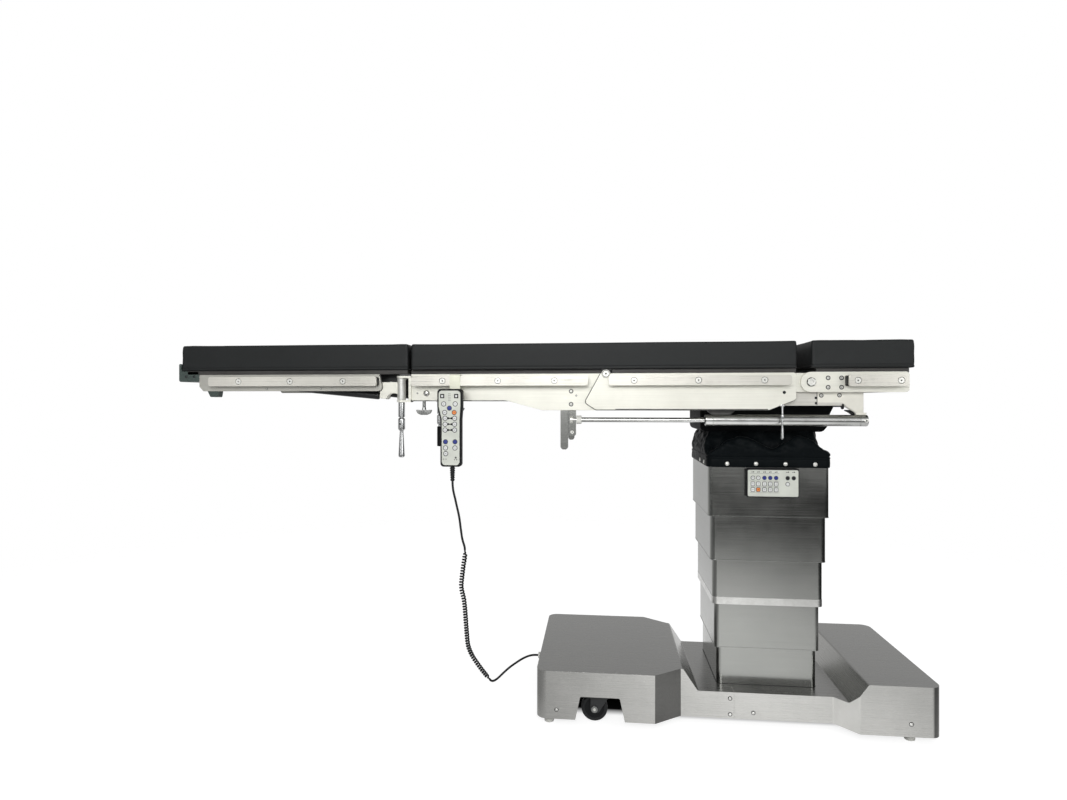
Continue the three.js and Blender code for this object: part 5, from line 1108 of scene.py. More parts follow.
seatOutline = rounded([(-983, 956), (-983, 883, 3), (-718, 883, 12), (-616, 856, 12), (-470, 856, 9),
                       (-429, 941, 9), (-429, 956)])
stopOutline = rounded([(-566, 885), (-566, 755, 6), (-561, 749, 5), (-550, 749, 5), (-545, 755, 6),
                       (-545, 885)])
lug = dict(levels=(878, 945), thick=6, radius=13, reach=30, hole=6.4)
buttonDome = [(0, 5.2), (4, 4.9), (7, 3.8), (8.6, 1.8), (9, 0), (9, -1), (0, -1)]
hingeCap = [(0, 1.6), (2.6, 1.6), (3, 2.6), (7.4, 2.6), (8, 2), (8.6, 1.4), (9.2, 2), (9.8, 2.6), (11, 2.2),
            (11.6, 1.2), (11.6, 0), (0, 0)]
shiftNut = [(6.6, -541), (10.5, -541), (11.5, -540), (11.5, -533), (10.5, -532), (6.6, -532)]
seat = Piece("seatFrame", "seat", "stainless", ["seat_frame"])
seat.box("boardLaminate", -982.6, -455, -240.6, 240.6, top["boardLow"], top["boardHigh"], edge=0.8)
seat.box("plateSteel", -983, -975, -240.5, 240.5, 883.5, 956.5)
seat.box("plateSteel", -560, -552, -240, 240, 871.5, 956.5)
for side in (-1, 1):
    face = side * top["seatFar"]
    seat.plate("plateSteel", seatOutline, "xz", side * top["seatNear"], face, edge=0.8)
    seat.box("barSteel", -983, 110, side * 198, side * 221.7, 880.3, 902.3, edge=1.4)
    for z in (908, 872.5):
        sunkScrew(seat, -537, z, face, side, 6.2)
    dome(seat, "pinSteel", buttonDome, "y", (-939.4, 902.8), face, side, 36)
    sunkScrew(seat, -965.4, 902.8, face, side, 2.4)
    sunkScrew(seat, -523, 896, face, side, 2.6)
    addScrew(seat, -553, 889, face, side, 3.6, 0.3)
    wingScrew(seat, -947, 883, 842.5, side, top["seatFar"])
    seat.rod("screwSteel", "y", backHinge, 8, side * 240, side * 250)
    dome(seat, "screwSteel", hingeCap, "y", backHinge, side * 249.6, side, 40)
    # A near black ring round the cap and a near black hexagon in it: painted shade in the gap and the
    # socket
    seat.plate("sunkSteel", circle(*backHinge, 9.1, 36), "xz", side * 251.1, side * 251.5,
               holes=[hole(*backHinge, 8.1, 36)], edge=0)
    seat.plate("sunkSteel", circle(*backHinge, 2.7, 6), "xz", side * 251, side * 251.6, edge=0)
    seat.plate("columnSteel", stopOutline, "xz", side * 233.3, side * 240.7, edge=0.8)
    # Two lugs hold a leg's upright hinge pin
    pinX, pinY = legPin[0], side * legPin[1]
    plan = [(pinX + lug["reach"], pinY + lug["radius"])]
    plan += arc(pinX, pinY, lug["radius"], math.pi / 2, math.pi * 1.5, 24)
    plan += [(pinX + lug["reach"], pinY - lug["radius"])]
    for low in lug["levels"]:
        seat.plate("plateSteel", plan, "xy", low, low + lug["thick"],
                   holes=[hole(pinX, pinY, lug["hole"])], edge=0.7)
    seat.box("plateSteel", -989, -982, side * 223.3, side * 248.7, 878.2, 950.8, edge=0.8)
# The near side's bracket takes the shift rod's end
bracket = rounded([(-545, 785, 7), (-524, 785, 7), (-524, 880), (-545, 880)])
seat.plate("columnSteel", bracket, "xz", -231, -221, edge=0.9)
seat.box("plateSteel", -552.8, -524.2, -233.5, -220.5, 871, 880)
seat.box("plateSteel", -560, -524.2, -231, -209, 872.2, 881)
addScrew(seat, -534.5, 796, -231, -1, 4.5, 0.5)
seat.lathe("screwSteel", shiftNut, "x", shift["axis"])
seat.make()

backOutline = rounded([(-457, 956), (-500, 877, 9), (-470, 858, 9), (-17, 858, 9), (51, 885, 9),
                       (51, 956, 7)])
backGapShadow = rounded([(-459.5, 955.5), (-502.6, 877, 10), (-471, 855.8, 10), (-17, 855.8, 10), (53, 884, 9),
                     (53, 955.5)])
backLipShade = rectangle(-418, -20, 858.3, 860.2, 0.4, 2)
backTongue = rounded([(20, 955), (20, 905, 5), (108, 905, 19), (108, 955, 19)])
back = Piece("backFrame", "back", "stainless", ["back_frame"])
back.box("boardLaminate", -426.8, 50.6, -248.9, 248.9, top["boardLow"], top["boardHigh"], edge=0.8)
for side in (-1, 1):
    face = side * top["backFar"]
    back.plate("plateSteel", backOutline, "xz", side * top["backNear"], face, edge=0.8)
    # A thin dark sheet between the plates: a painted shadow line along the back plate's edge
    back.plate("sunkSteel", backGapShadow, "xz", side * 241.02, side * 241.28, edge=0)
    # A dark strip along the plate's lower edge: painted shade where its edge folds
    back.plate("darkSteel", backLipShade, "xz", side * 249.2, side * 249.7, edge=0.1)
    back.plate("plateSteel", backTongue, "xz", side * top["seatNear"], side * top["seatFar"], edge=0.8)
    back.box("plateSteel", 20.4, 50.6, side * 233.4, side * 248.9, 905.4, 954.6, edge=0.5)
    back.rod("screwSteel", "y", headHinge, 7, side * 234, side * 250)
    boltHead(back, *headHinge, 249.6, side, 11, 5.4)
    back.plate("keyBlack", circle(21, 904, 4.2, 28), "xz", side * 249.2, side * 249.5, edge=0)
    addScrew(back, 38, 946, face, side, 4, 0.4)
back.make()

headOutline = rounded([(62.5, 957.5, 26.4), (62.5, 904.5, 26.4), (332, 904.5, 9), (332, 957.5, 9)])
head = Piece("headFrame", "head", "stainless", ["head_frame"])
head.box("boardLaminate", 101, 331, -248.9, 248.9, top["boardLow"], top["boardHigh"], edge=0.8)
for side in (-1, 1):
    face = side * top["backFar"]
    head.plate("plateSteel", headOutline, "xz", side * top["backNear"], face, holes=[hole(*headHinge, 7.6)],
               edge=0.8)
    for x in (131, 164.5):
        for z in (941.5, 917.2):
            sunkScrew(head, x, z, face, side, 6)
head.box("plateSteel", 323, 331.4, -241.2, 241.2, 905.5, 956)
head.make()

leverStem = [(0, 781), (2.2, 781.2), (2.6, 782), (2.6, 834.5), (4.2, 836), (4.5, 838), (4.5, 842),
             (4.2, 844), (2.6, 845.5), (2.6, 868), (2, 870), (0, 870.6)]
leverPlace = (15, -252.5)
leverGrip = [(0, 781.4), (3.1, 782), (3.5, 783.5), (3.1, 800), (2.5, 812.6)]
lever = Piece("releaseLever", "release", "chrome", ["release_lever"])
lever.lathe("chromed", leverStem, "z", leverPlace, 24)
lever.lathe("chromed", leverGrip, "z", leverPlace, 24)
lever.rod("chromed", "y", (leverPlace[0], 868), 4.5, -249.7, -255, edge=0.8)
lever.make()

for side, suffix in bothSides:
    rail("seat", "seat", side, suffix, (-975, -491), railBand, (-887, -734, -581), top["seatFar"])
    rail("back", "back", side, suffix, (-436, 34), railBand, (-369, -202, -34), top["backFar"])
    rail("head", "head", side, suffix, (175, 320), headRailBand, (197, 302), top["backFar"], (173, 186))
    rail("leg", f"leg_{suffix}", side, suffix, (-1565, -1073), railBand, (-1475, -1323, -1169),
         top["legFar"], (-1085, -1071.5))
print("stage: table top", flush=True)


# Leg sections: hinge, plate, gas spring, clamp handle and foot end cap

legHinge = dict(tiltPin=(-1045, 930), springPin=(-1059, 894), near=226, far=246)
hingeBarrel = [(6.3, 884.3), (11, 884.3), (12, 885.3), (12, 943.7), (11, 944.7), (6.3, 944.7)]
hingeBlock = rounded([(-1069, 934, 9), (-1073, 889, 4), (-1054, 887, 5), (-1048, 897, 6), (-1040, 902.5, 6),
                      (-1027, 902.5, 1), (-1021, 900), (-1021, 934, 3)], 6)
legBoard = dict(foot=-1640, head=-990, near=8.4, far=253.9)
legPlate = rounded([(-1604, 956), (-1604, 922, 2), (-1592, 909, 2), (-1061, 909, 11), (-1071, 956)])
legEndShadow = rounded([(-1200, 955.5), (-1200, 908, 2), (-1059.4, 908, 12), (-1069.6, 955.5)])
legEar = rounded([(-1105, 957), (-1105, 949), (-1060, 915, 15), (-1030, 915, 15), (-1030, 957)])
legCap = rounded([(-1667, 988, 3), (-1667, 936, 6), (-1605, 936, 6), (-1605, 967), (-1659.5, 967, 3),
                  (-1659.5, 988, 3)])
legStop = rounded([(-1580, 910), (-1571, 892.5, 3), (-1549, 892, 3), (-1546, 910)])
spring = dict(head=(-1059, 894.0), foot=(-1560, 941.0), y=212, length=503.2)
springParts = [
    ([(0, 22), (6, 22.5), (9, 24), (10.6, 26), (11, 29), (11, 326), (10.6, 329), (9.6, 330), (9.6, 331),
      (10.4, 332), (8, 334), (0, 334)], 36, "blackPaint"),
    ([(0, 333), (4, 333), (4, 492), (0, 492)], 24, "chromed"),
    ([(0, 486), (5.5, 486), (6, 487), (6, 494), (0, 494)], 24, "screwSteel"),
    ([(0, 6), (5, 6), (5.5, 8), (5.5, 20), (4.5, 23), (0, 23)], 24, "screwSteel"),
]
clampHandle = [(0, 723), (5, 723.3), (7.6, 724.6), (8.9, 727), (9, 731), (8.2, 745), (6.4, 780), (5.2, 797),
               (6.5, 799), (9.2, 801.5), (10, 804), (10, 829), (9.2, 831.5), (6.4, 833.5), (5.6, 835.4),
               (8.4, 836), (9.5, 837.4), (9.5, 876.4), (8.6, 877.4), (6, 877.4), (6, 949.6), (5, 950.9),
               (0, 950.9)]
clampSleeve = [(0, 724), (8.6, 724), (9.4, 725), (9.4, 790), (8.4, 792), (5.6, 793), (0, 793)]


def springShapes():
    # The barrel, the rod and its ends along +X, with an open eye at the start and a closed one at the end
    made = [(turned(profile, "x", (0, 0), steps), finish) for profile, steps, finish in springParts]
    for along, bore in ((0, 4.3), (spring["length"], 0)):
        eye = [(bore, -5), (7, -5), (8, -4), (8, 4), (7, 5), (bore, 5)]
        made.append((turned(eye, "y", (along, 0), 32), "screwSteel"))
    return made


for side, suffix in bothSides:
    pinX, pinY = legPin[0], side * legPin[1]
    hinge = Piece(f"legHinge_{suffix}", f"leg_hinge_{suffix}", "stainless", [f"leg_hinge_{suffix}"])
    hinge.lathe("knuckleSteel", hingeBarrel, "z", (pinX, pinY))
    hinge.plate("plateSteel", hingeBlock, "xz", side * legHinge["near"], side * legHinge["far"], edge=1.4,
                segments=3)
    hinge.rod("screwSteel", "y", legHinge["tiltPin"], 6, side * 227, side * 189)
    hinge.rod("screwSteel", "y", legHinge["springPin"], 4, side * 227, side * 207)
    hinge.make()

    section = Piece(f"legFrame_{suffix}", f"leg_{suffix}", "stainless", [f"leg_frame_{suffix}"])
    near, far, face = side * legBoard["near"], side * legBoard["far"], side * top["legFar"]
    section.box("boardLaminate", legBoard["foot"], legBoard["head"], near, far, 956.2, top["boardHigh"],
                edge=0.8)
    # The leg plate takes the darker copy of the plate steel, a painted shade
    section.plate("legSteel", legPlate, "xz", side * top["legNear"], face, edge=0.8)
    # A thin dark sheet behind the plate: a painted shadow line along its end
    section.plate("sunkSteel", legEndShadow, "xz", side * 246.2, side * 246.45, edge=0)
    section.box("plateSteel", legBoard["foot"], -1105, side * 30, side * 36, 925, 957, edge=0.8)
    section.plate("blackPaint", legEar, "xz", side * 189, side * 199,
                  holes=[hole(*legHinge["tiltPin"], 6.3)], edge=0.8)
    section.box("plateSteel", -1574, -1546, side * 200.7, side * 206.7, 933, 957, edge=1)
    section.rod("screwSteel", "y", spring["foot"], 3.6, side * 204, side * 206.6)
    section.plate("capPlastic", legCap, "xz", near, far, edge=2, segments=3)
    for x in (-1644, -1620):
        addScrew(section, x, 951, far, side, 4, 0.4, "keyBlack")
    if side < 0:
        section.plate("capPlastic", legStop, "xz", far, -226.4, edge=1.6, segments=3)
    for x in (-1240, -1400):
        sunkScrew(section, x, 915.5, face, side, 3)
    section.make()

    # The spring's shapes are turned from +X to the line between its two eyes
    start = np.array([spring["head"][0], side * spring["y"], spring["head"][1]])
    end = np.array([spring["foot"][0], side * spring["y"], spring["foot"][1]])
    run = (end - start) / np.linalg.norm(end - start)
    upright = np.array([run[2], 0, -run[0]])
    springPiece = Piece(f"gasSpring_{suffix}", f"spring_{suffix}", "black_paint", [f"gas_spring_{suffix}"],
                        smooth=40)
    for shape, finish in springShapes():
        for vertex in shape.verts:
            along, across, up = vertex.co
            vertex.co = Vector(start + run * along + np.array([0, across, 0]) + upright * up)
        bmesh.ops.recalc_face_normals(shape, faces=shape.faces)
        springPiece.add(shape, finish)
    springPiece.make()

    # The clamp's lever hangs from a knuckle and tapers to a round grip
    clamp = Piece(f"clampHandle_{suffix}", f"clamp_{suffix}", "chrome", [f"clamp_handle_{suffix}"],
                  smooth=40)
    clamp.lathe("chromed", clampHandle, "z", (pinX, pinY))
    # A small near black disc: painted shade
    clamp.plate("sunkSteel", circle(-1013, 817, 2.6, 20), "xz", side * 245, side * 246.6, edge=0.2)
    if side > 0:
        # The far handle has a black sleeve on its grip
        clamp.lathe("blackPlastic", clampSleeve, "z", (pinX, pinY), 36)
    clamp.make()
print("stage: legs", flush=True)


# Hand control on the near rail, and the hook that holds it

control = dict(face=-301.2, back=-278, front=-299.6, low=704, high=914, lead=(-855.1, -290), ribs=6,
               ribStep=6.1)
controlRows = (834.8, 818.9, 803.2)
controlKeys = [(-876.9, 873.4, "keyWhite"), (-845.4, 873.4, "keyWhite"), (-861.3, 862.1, "keyBlue"),
               (-874.1, 850.4, "keyWhite"), (-848.2, 850.4, "keyOrange")]
controlKeys += [(x, z, "keyWhite") for z in controlRows for x in (-873, -847)]
controlKeys += [(-872, 771.6, "keyBlue"), (-846, 771.6, "keyBlue"), (-872, 755, "keyWhite"),
                (-846, 755, "keyWhite"), (-871.3, 739.7, "keyWhite")]
keyCap = [(0, 0.55), (4.8, 0.55), (5.1, 0.35), (5.1, 0), (0, 0)]
linkMarks = ((-860, 5.4, 1.5), (-864.6, 1.9, 2.7), (-855.4, 1.9, 2.7))
lightRows, lightColumns = (900.5, 896, 891.5, 887, 882.5), (-863, -859.5)
footMarks = ((-877, 725, 1.1), (-870.5, 725, 1.1), (-844, 729, 2.2), (-847, 723.5, 1.2),
             (-841.5, 723.5, 1.2))
hookOutline = rounded([(-277.7, 900.3, 2), (-277.7, 954, 5), (-260.7, 954, 4), (-260.7, 930, 1.5),
                       (-264.6, 930, 1.5), (-264.6, 949.6, 1.5), (-275.4, 949.6, 1.5), (-275.4, 921, 2),
                       (-271.6, 919.6, 1.5), (-271.6, 900.3, 2)], 5)


def controlOutline(inset):
    low, high = control["low"] + inset, control["high"] - inset
    return rounded([(-895.5 + inset, high, 9), (-895.5 + inset, 866, 12), (-887 + inset, 832, 26),
                    (-887 + inset, low, 9), (-829 - inset, low, 9), (-829 - inset, 832, 26),
                    (-826.5 - inset, 866, 12), (-826.5 - inset, high, 9)], 8)


def reliefProfile():
    # The strain relief: ribs that grow wider towards the hand control
    made = [(0, 665.2), (4.6, 665.2), (5.2, 666)]
    for rib in range(control["ribs"]):
        z, wide = 667 + rib * control["ribStep"], 5.4 + rib * 0.26
        made += [(wide, z), (wide + 0.5, z + 0.8), (wide + 0.5, z + 2.8), (wide, z + 3.6),
                 (wide - 1, z + 4.1), (wide - 1, z + 5.7)]
    return made + [(6.4, 704.5), (0, 704.5)]


hand = Piece("handControl", "seat", "black_plastic", ["hand_control"], smooth=40)
controlFace = control["face"]


def faceMark(finish, outline, proud, edge=0.0, sunk=0.0):
    hand.plate(finish, outline, "xz", controlFace - proud, controlFace + sunk, edge=edge)


hand.plate("blackPlastic", controlOutline(0), "xz", control["front"], control["back"], edge=3.2, segments=4)
hand.plate("blackPlastic", controlOutline(1.2), "xz", -301, -299.2, edge=0.7)
hand.plate("keypadFace", controlOutline(4.8), "xz", -301.35, -300.2, edge=0.12)
for x in (-881, -842.6):
    faceMark("keyBlack", tile(x, 894.5, 5.85, 5.9, 0.8, 3), 0.3, 0.08)
    faceMark("keyWhite", tile(x, 894.5, 2.7, 2.7, 0.6, 3), 0.4, 0.08)
for x, z, finish in controlKeys:
    faceMark("keyRing", circle(x, z, 6.9), 0.35, 0.12, 0.2)
    dome(hand, finish, keyCap, "y", (x, z), controlFace, -1, 32)
    faceMark("keyRing", tile(x, z, 1.7, 0.6, 0.3, 2), 0.62, 0, -0.5)
for z in controlRows:
    for x, halfWide, halfTall in linkMarks:
        faceMark("keyBlack", tile(x, z, halfWide, halfTall, 0.6, 3), 0.25)
for z in lightRows:
    for x in lightColumns:
        faceMark("keyRing", tile(x, z, 1.1, 0.7, 0.3, 2), 0.25)
for x, z, half in footMarks:
    faceMark("keyBlack", tile(x, z, half, half, 0.4, 2), 0.25)
hand.lathe("wheelRubber", reliefProfile(), "z", control["lead"], 36)
hand.make()
hook = Piece("controlHook", "seat", "pale_plastic", ["control_hook"], smooth=40)
hook.plate("hookPlastic", hookOutline, "yz", -866, -837, edge=0.7)
hook.make()
print("stage: hand control", flush=True)


# Pads: foam slabs whose cover is swelled a little by a cloth simulation

pads = dict(low=967.3, high=1042, halfWidth=261, gap=8, corner=7, edge=4.5, cell=11, swell=2.6, pressure=4,
            frames=20, seam=8, seamDepth=0.9, seamWidth=0.8, seamSteps=(-1.6, -0.6, 0, 0.6, 1.6),
            fill=0.95, creaseDepth=0.5, creaseReach=26, creaseLow=14, creaseTop=8,
            main=(-981, 53), head=(85, 343), leg=(-1657, -985), bend=(-508, -378))


def levels(low, high, radius, cell, extra=()):
    # Places along one axis: evenly spaced, closer together in the rounded ends
    even = np.linspace(low + radius, high - radius, max(2, round((high - low - 2 * radius) / cell)) + 1)
    close = radius * np.array([0.0, 0.25, 0.6])
    return np.unique(np.concatenate([low + close, even, high - close, extra]).round(3))


def roundedPoints(points, low, high, radius, edge):
    # Points of a box, drawn onto its rounds: those within the radius of an upright edge go to their nearest
    # place in the inner plan plus the radius along the way out, and the upper and lower edges are rounded
    # alike in the plane of the way out
    plan = np.clip(points[:, :2], np.array(low[:2]) + radius, np.array(high[:2]) - radius)
    out = points[:, :2] - plan
    reachOut = np.minimum(np.abs(out).max(axis=1, keepdims=True), radius)
    out = out / np.maximum(np.linalg.norm(out, axis=1, keepdims=True), 1e-9)
    middle, half = (low[2] + high[2]) / 2, (high[2] - low[2]) / 2
    rise = points[:, 2:] - middle
    across = np.maximum(reachOut - (radius - edge), 0)
    upright = np.maximum(np.abs(rise) - (half - edge), 0)
    length = np.maximum(np.hypot(across, upright), 1e-9)
    most = np.maximum(across, upright)
    inner = np.where(reachOut > radius - edge, radius - edge + across / length * most, reachOut)
    height = np.where(np.abs(rise) > half - edge, half - edge + upright / length * most, np.abs(rise))
    return np.concatenate([plan + out * inner, middle + np.sign(rise) * height], axis=1)


def gridFaces(rows, columns, closed=False, closedRows=False):
    # The corners of each face of a grid, whose columns, and rows, may close on themselves
    row, column = np.meshgrid(np.arange(rows if closedRows else rows - 1),
                              np.arange(columns if closed else columns - 1), indexing="ij")
    beside, above = (column + 1) % columns, (row + 1) % rows
    corners = [row * columns + column, row * columns + beside, above * columns + beside,
               above * columns + column]
    return np.stack(corners, axis=-1).reshape(-1, 4)


def slabGrid(low, high, radius, edge, cell, extraZ):
    # Six grids on a box with rounded edges
    axes = [levels(low[0], high[0], radius, cell), levels(low[1], high[1], radius, cell),
            levels(low[2], high[2], edge, cell, extraZ)]
    made = bmesh.new()
    for axis in range(3):
        one, two = [other for other in range(3) if other != axis]
        first, second = np.meshgrid(axes[one], axes[two], indexing="ij")
        for place in (low[axis], high[axis]):
            grid = np.zeros(first.shape + (3,))
            grid[..., axis], grid[..., one], grid[..., two] = place, first, second
            points = roundedPoints(grid.reshape(-1, 3), low, high, radius, edge)
            vertices = [made.verts.new(point) for point in points]
            for face in gridFaces(*first.shape):
                made.faces.new([vertices[index] for index in face])
    bmesh.ops.remove_doubles(made, verts=made.verts, dist=0.05)
    bmesh.ops.recalc_face_normals(made, faces=made.faces)
    return made


def simulated(piece, pinned):
    # The places of a pad's points after its cover has swelled under pressure, with its underside pinned
    pins = piece.vertex_groups.new(name="pins")
    pins.add([int(index) for index in pinned], 1.0, "REPLACE")
    cloth = piece.modifiers.new("cloth", "CLOTH")
    cloth.settings.quality = 5
    cloth.settings.use_pressure = True
    cloth.settings.uniform_pressure_force = pads["pressure"]
    cloth.settings.vertex_group_mass = "pins"
    cloth.settings.effector_weights.gravity = 0
    cloth.point_cache.frame_start, cloth.point_cache.frame_end = 1, pads["frames"]
    for step in range(1, pads["frames"] + 1):
        bpy.context.scene.frame_set(step)
    moved = coordinates(evaluated(piece).data)
    piece.modifiers.clear()
    piece.vertex_groups.clear()
    bpy.context.scene.frame_set(1)
    return moved


def padPiece(name, ends, sides):
    (left, right), (front, back) = ends, sides
    low, full, edge, corner = pads["low"], pads["high"] - pads["swell"], pads["edge"], pads["corner"]
    seamZ = low + pads["seam"]
    start = slabGrid((left + 1, front + 1, low), (right - 1, back - 1, full), corner, edge, pads["cell"],
                     [seamZ + step for step in pads["seamSteps"]])
    data = bpy.data.meshes.new(name)
    start.to_mesh(data)
    start.free()
    rest = toFrame(coordinates(data))
    data.vertices.foreach_set("co", rest.ravel())
    piece = placed(name, data)
    moved = rest
    moved = simulated(piece, np.nonzero(rest[:, 2] < (low + 3) * mm)[0])
    move = moved - rest
    # The cover is a little slack in places, so how far it may swell changes slowly along the pad
    local = fromFrame(rest)
    x, y, z = local.T
    slack = 0.8 + 0.1 * np.sin(x / 61 + y / 83) + 0.1 * np.sin(y / 47 - x / 129 + 1)
    sideways = np.where(z < full - edge, 0.45, 1.0)
    limit = pads["swell"] * mm * slack * sideways
    move = move * np.minimum(1, limit / np.maximum(np.linalg.norm(move, axis=1), 1e-9))[:, None]
    # A welded seam runs round the side, and small creases start at the upright corners
    centre = np.array([(left + right) / 2, (front + back) / 2])
    half = np.array([(right - left) / 2, (back - front) / 2])
    edgeDistance = np.abs(local[:, :2] - centre) - (half - corner - 1)
    outward = np.where(edgeDistance > 0, np.sign(local[:, :2] - centre), 0)
    outward = outward / np.maximum(np.linalg.norm(outward, axis=1, keepdims=True), 1e-9)
    seamCut = np.exp(-((z - seamZ) / pads["seamWidth"]) ** 2) * pads["seamDepth"]
    away = np.hypot(*(np.minimum(edgeDistance, 0).T))
    crease = pads["creaseDepth"] * np.exp(-away / pads["creaseReach"]) * np.sin(z / 5.2 + away / 7)
    crease = crease * (z > low + pads["creaseLow"]) * (z < full - pads["creaseTop"])
    local[:, :2] += outward * (crease - seamCut)[:, None]
    data.vertices.foreach_set("co", (toFrame(local) + move).ravel())
    data.polygons.foreach_set("use_smooth", [True] * len(data.polygons))
    finer = piece.modifiers.new("finer", "SUBSURF")
    finer.levels = finer.render_levels = 1
    piece.data = bpy.data.meshes.new_from_object(evaluated(piece))
    piece.modifiers.clear()
    piece.data.materials.append(finishes["padCover"])
    return piece


wholeWidth = (-pads["halfWidth"], pads["halfWidth"])
mainPad = padPiece("mainPad", pads["main"], wholeWidth)
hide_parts("seat_pad", "pad_flex_zone", "back_pad")
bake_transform(mainPad)
headPad = padPiece("headPad", pads["head"], wholeWidth)
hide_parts("head_pad")
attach(headPad, "head")
for side, suffix in bothSides:
    legPad = padPiece(f"legPad_{suffix}", pads["leg"],
                      sorted((side * pads["gap"], side * pads["halfWidth"])))
    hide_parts(f"leg_pad_{suffix}")
    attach(legPad, f"leg_{suffix}")
print("stage: pads", flush=True)


# Bellows: coated cloth from the column's rim up into the hood, with hill shaped folds

bellows = dict(around=480, steps=5, footHalf=(162.5, 168.8), footCorner=20, neckHalf=(145.5, 109),
               neckCorner=24, neckShift=-2.5, foot=727, top=832, wall=1.4, split=30, wrinkle=2.3,
               lowerBend=(729, 758), upperBend=(764, 794))
# Height of the fold's crest along the front, from the foot end to the head end, and round the other sides
frontCrest = [(-170, 738), (-149, 742), (-122, 770), (-95, 782), (-60, 780), (-28, 768), (13, 748),
              (45, 768), (75, 783), (100, 788), (118, 777), (135, 760), (152, 748), (170, 740)]
backCrest = [(-170, 748), (-90, 786), (-20, 764), (60, 790), (120, 780), (170, 750)]
# How far in and how high the cloth's rows lie on its foot side and on its head side
footSide = [(0, 0), (-0.08, 9), (-0.14, 19), (-0.14, 30), (-0.06, 41), (0.08, 51), (0.28, 60), (0.55, 68),
            (0.82, 76), (0.97, 84), (1, 93), (1, 105)]
headSide = [(0, 0), (-0.02, 6), (0.07, 11), (0.3, 15), (0.6, 19), (0.84, 24), (0.9, 33), (0.88, 44),
            (0.86, 56), (0.9, 70), (1, 88), (1, 105)]


def ringPoints(halfX, halfY, corner, count):
    # Evenly spaced points round a rounded rectangle, counted from the middle of its +X side
    outline = np.array(rectangle(-halfX, halfX, -halfY, halfY, corner, 10))
    start = np.argmin(np.abs(outline[:, 1]) + (outline[:, 0] < 0) * 1000)
    outline = np.vstack([[halfX, 0], np.roll(outline, -start, axis=0)])
    angles = np.unwrap(np.arctan2(outline[:, 1], outline[:, 0]))
    if angles[-1] < angles[0]:
        outline = np.vstack([outline[:1], outline[1:][::-1]])
    closed = np.vstack([outline, outline[:1]])
    lengths = wayAlong(closed)
    return evenly(closed, lengths, np.linspace(0, lengths[-1], count, endpoint=False))


def smoothRows(given, steps):
    # A Catmull-Rom curve through rows of places, with some steps between each two
    given = np.array([given[0], *given, given[-1]])
    rows = []
    for before, start, end, after in zip(given[:-3], given[1:-2], given[2:-1], given[3:]):
        for u in np.arange(steps) / steps:
            bend = 2 * before - 5 * start + 4 * end - after
            turn = 3 * start - before - 3 * end + after
            rows.append(0.5 * (2 * start + (end - before) * u + bend * u ** 2 + turn * u ** 3))
    return np.array([*rows, given[-1]])


def foldedCloth():
    # Each column of the cloth rises from the band, bulges, turns over at the crest, dips into the crease
    # and climbs to the neck. Its rows are a smooth curve through those places: how far in, and how high
    foot = ringPoints(*bellows["footHalf"], bellows["footCorner"], bellows["around"])
    neck = ringPoints(*bellows["neckHalf"], bellows["neckCorner"], bellows["around"])
    neck = neck + np.array([bellows["neckShift"], 0])
    x, y = foot.T
    crest = np.where(y < 0, np.interp(x, *zip(*frontCrest)), np.interp(x, *zip(*backCrest)))
    weights = np.exp(-np.linspace(-2, 2, 17) ** 2)
    wrapped = np.concatenate([crest[-8:], crest, crest[:8]])
    hill = np.convolve(wrapped, weights / weights.sum(), mode="valid") - bellows["foot"]
    folded = [(0, 0 * hill), (-0.09, 0.25 * hill), (-0.1, 0.55 * hill), (-0.02, 0.86 * hill), (0.14, hill),
              (0.3, hill - 2), (0.46, hill - 12), (0.54, hill - 5), (0.72, 0.5 * (hill + 73)),
              (0.94, 79 + 0 * hill), (1, 91 + 0 * hill), (1, 105 + 0 * hill)]
    onFace = np.clip((np.abs(y) / bellows["footHalf"][1] - 0.72) / 0.25, 0, 1)
    onFace = onFace * onFace * (3 - 2 * onFace)
    places = []
    for (inward, rise), (footIn, footRise), (headIn, headRise) in zip(folded, footSide, headSide):
        plainIn, plainRise = np.where(x > 0, headIn, footIn), np.where(x > 0, headRise, footRise)
        both = (inward * onFace + plainIn * (1 - onFace), rise * onFace + plainRise * (1 - onFace))
        places.append(np.stack(both, axis=1))
    rows = smoothRows(places, bellows["steps"])
    inward, rise = rows[:, :, :1], rows[:, :, 1:]
    plan = foot[None] * (1 - inward) + neck[None] * inward
    return np.concatenate([plan, bellows["foot"] + rise], axis=2)


def outwardNormals(grid):
    across = np.roll(grid, -1, 1) - np.roll(grid, 1, 1)
    normals = np.cross(across, np.gradient(grid, axis=0))
    return normals / np.linalg.norm(normals, axis=2)[:, :, None]


def wrinkled(grid):
    # Slanting wrinkles that run out from the fold's valley, strongest in the middle of the cloth's rise
    x, y, z = np.moveaxis(grid, 2, 0)
    along = np.where(np.abs(y) > np.abs(x), x * np.sign(-y), y * np.sign(x))
    height = (z - bellows["foot"]) / (bellows["top"] - bellows["foot"])
    fade = np.clip(height * 5, 0, 1) * np.clip((0.93 - height) * 4, 0, 1)
    slanted = (np.sin(along / 11 + z / 6.5 + 0.6) + 0.8 * np.sin(along / 17 - z / 8 + 2)
               + 0.6 * np.sin(along / 6.3 + z / 13 + 4) + 0.5 * np.sin(along / 29 + z / 4.2 + 1.3))
    fine = np.sin(along / 3.1 - z / 5 + 2 * np.sin(along / 23)) * 0.22
    return grid + outwardNormals(grid) * (bellows["wrinkle"] * fade * (slanted * 0.6 + fine))[:, :, None]


def clothSize(grid):
    # In metres: the longest way round a stretch of the cloth, the longest way up it, and its area,
    # which is the sum of the products of each face's two sides
    beside, upward = np.roll(grid, -1, 1) - grid, np.diff(grid, axis=0)
    width = np.linalg.norm(beside, axis=2).sum(axis=1).max()
    length = np.linalg.norm(upward, axis=2).sum(axis=0).max()
    area = np.linalg.norm(np.cross(upward, beside[:-1]), axis=2).sum()
    return width * mm, length * mm, area * mm * mm


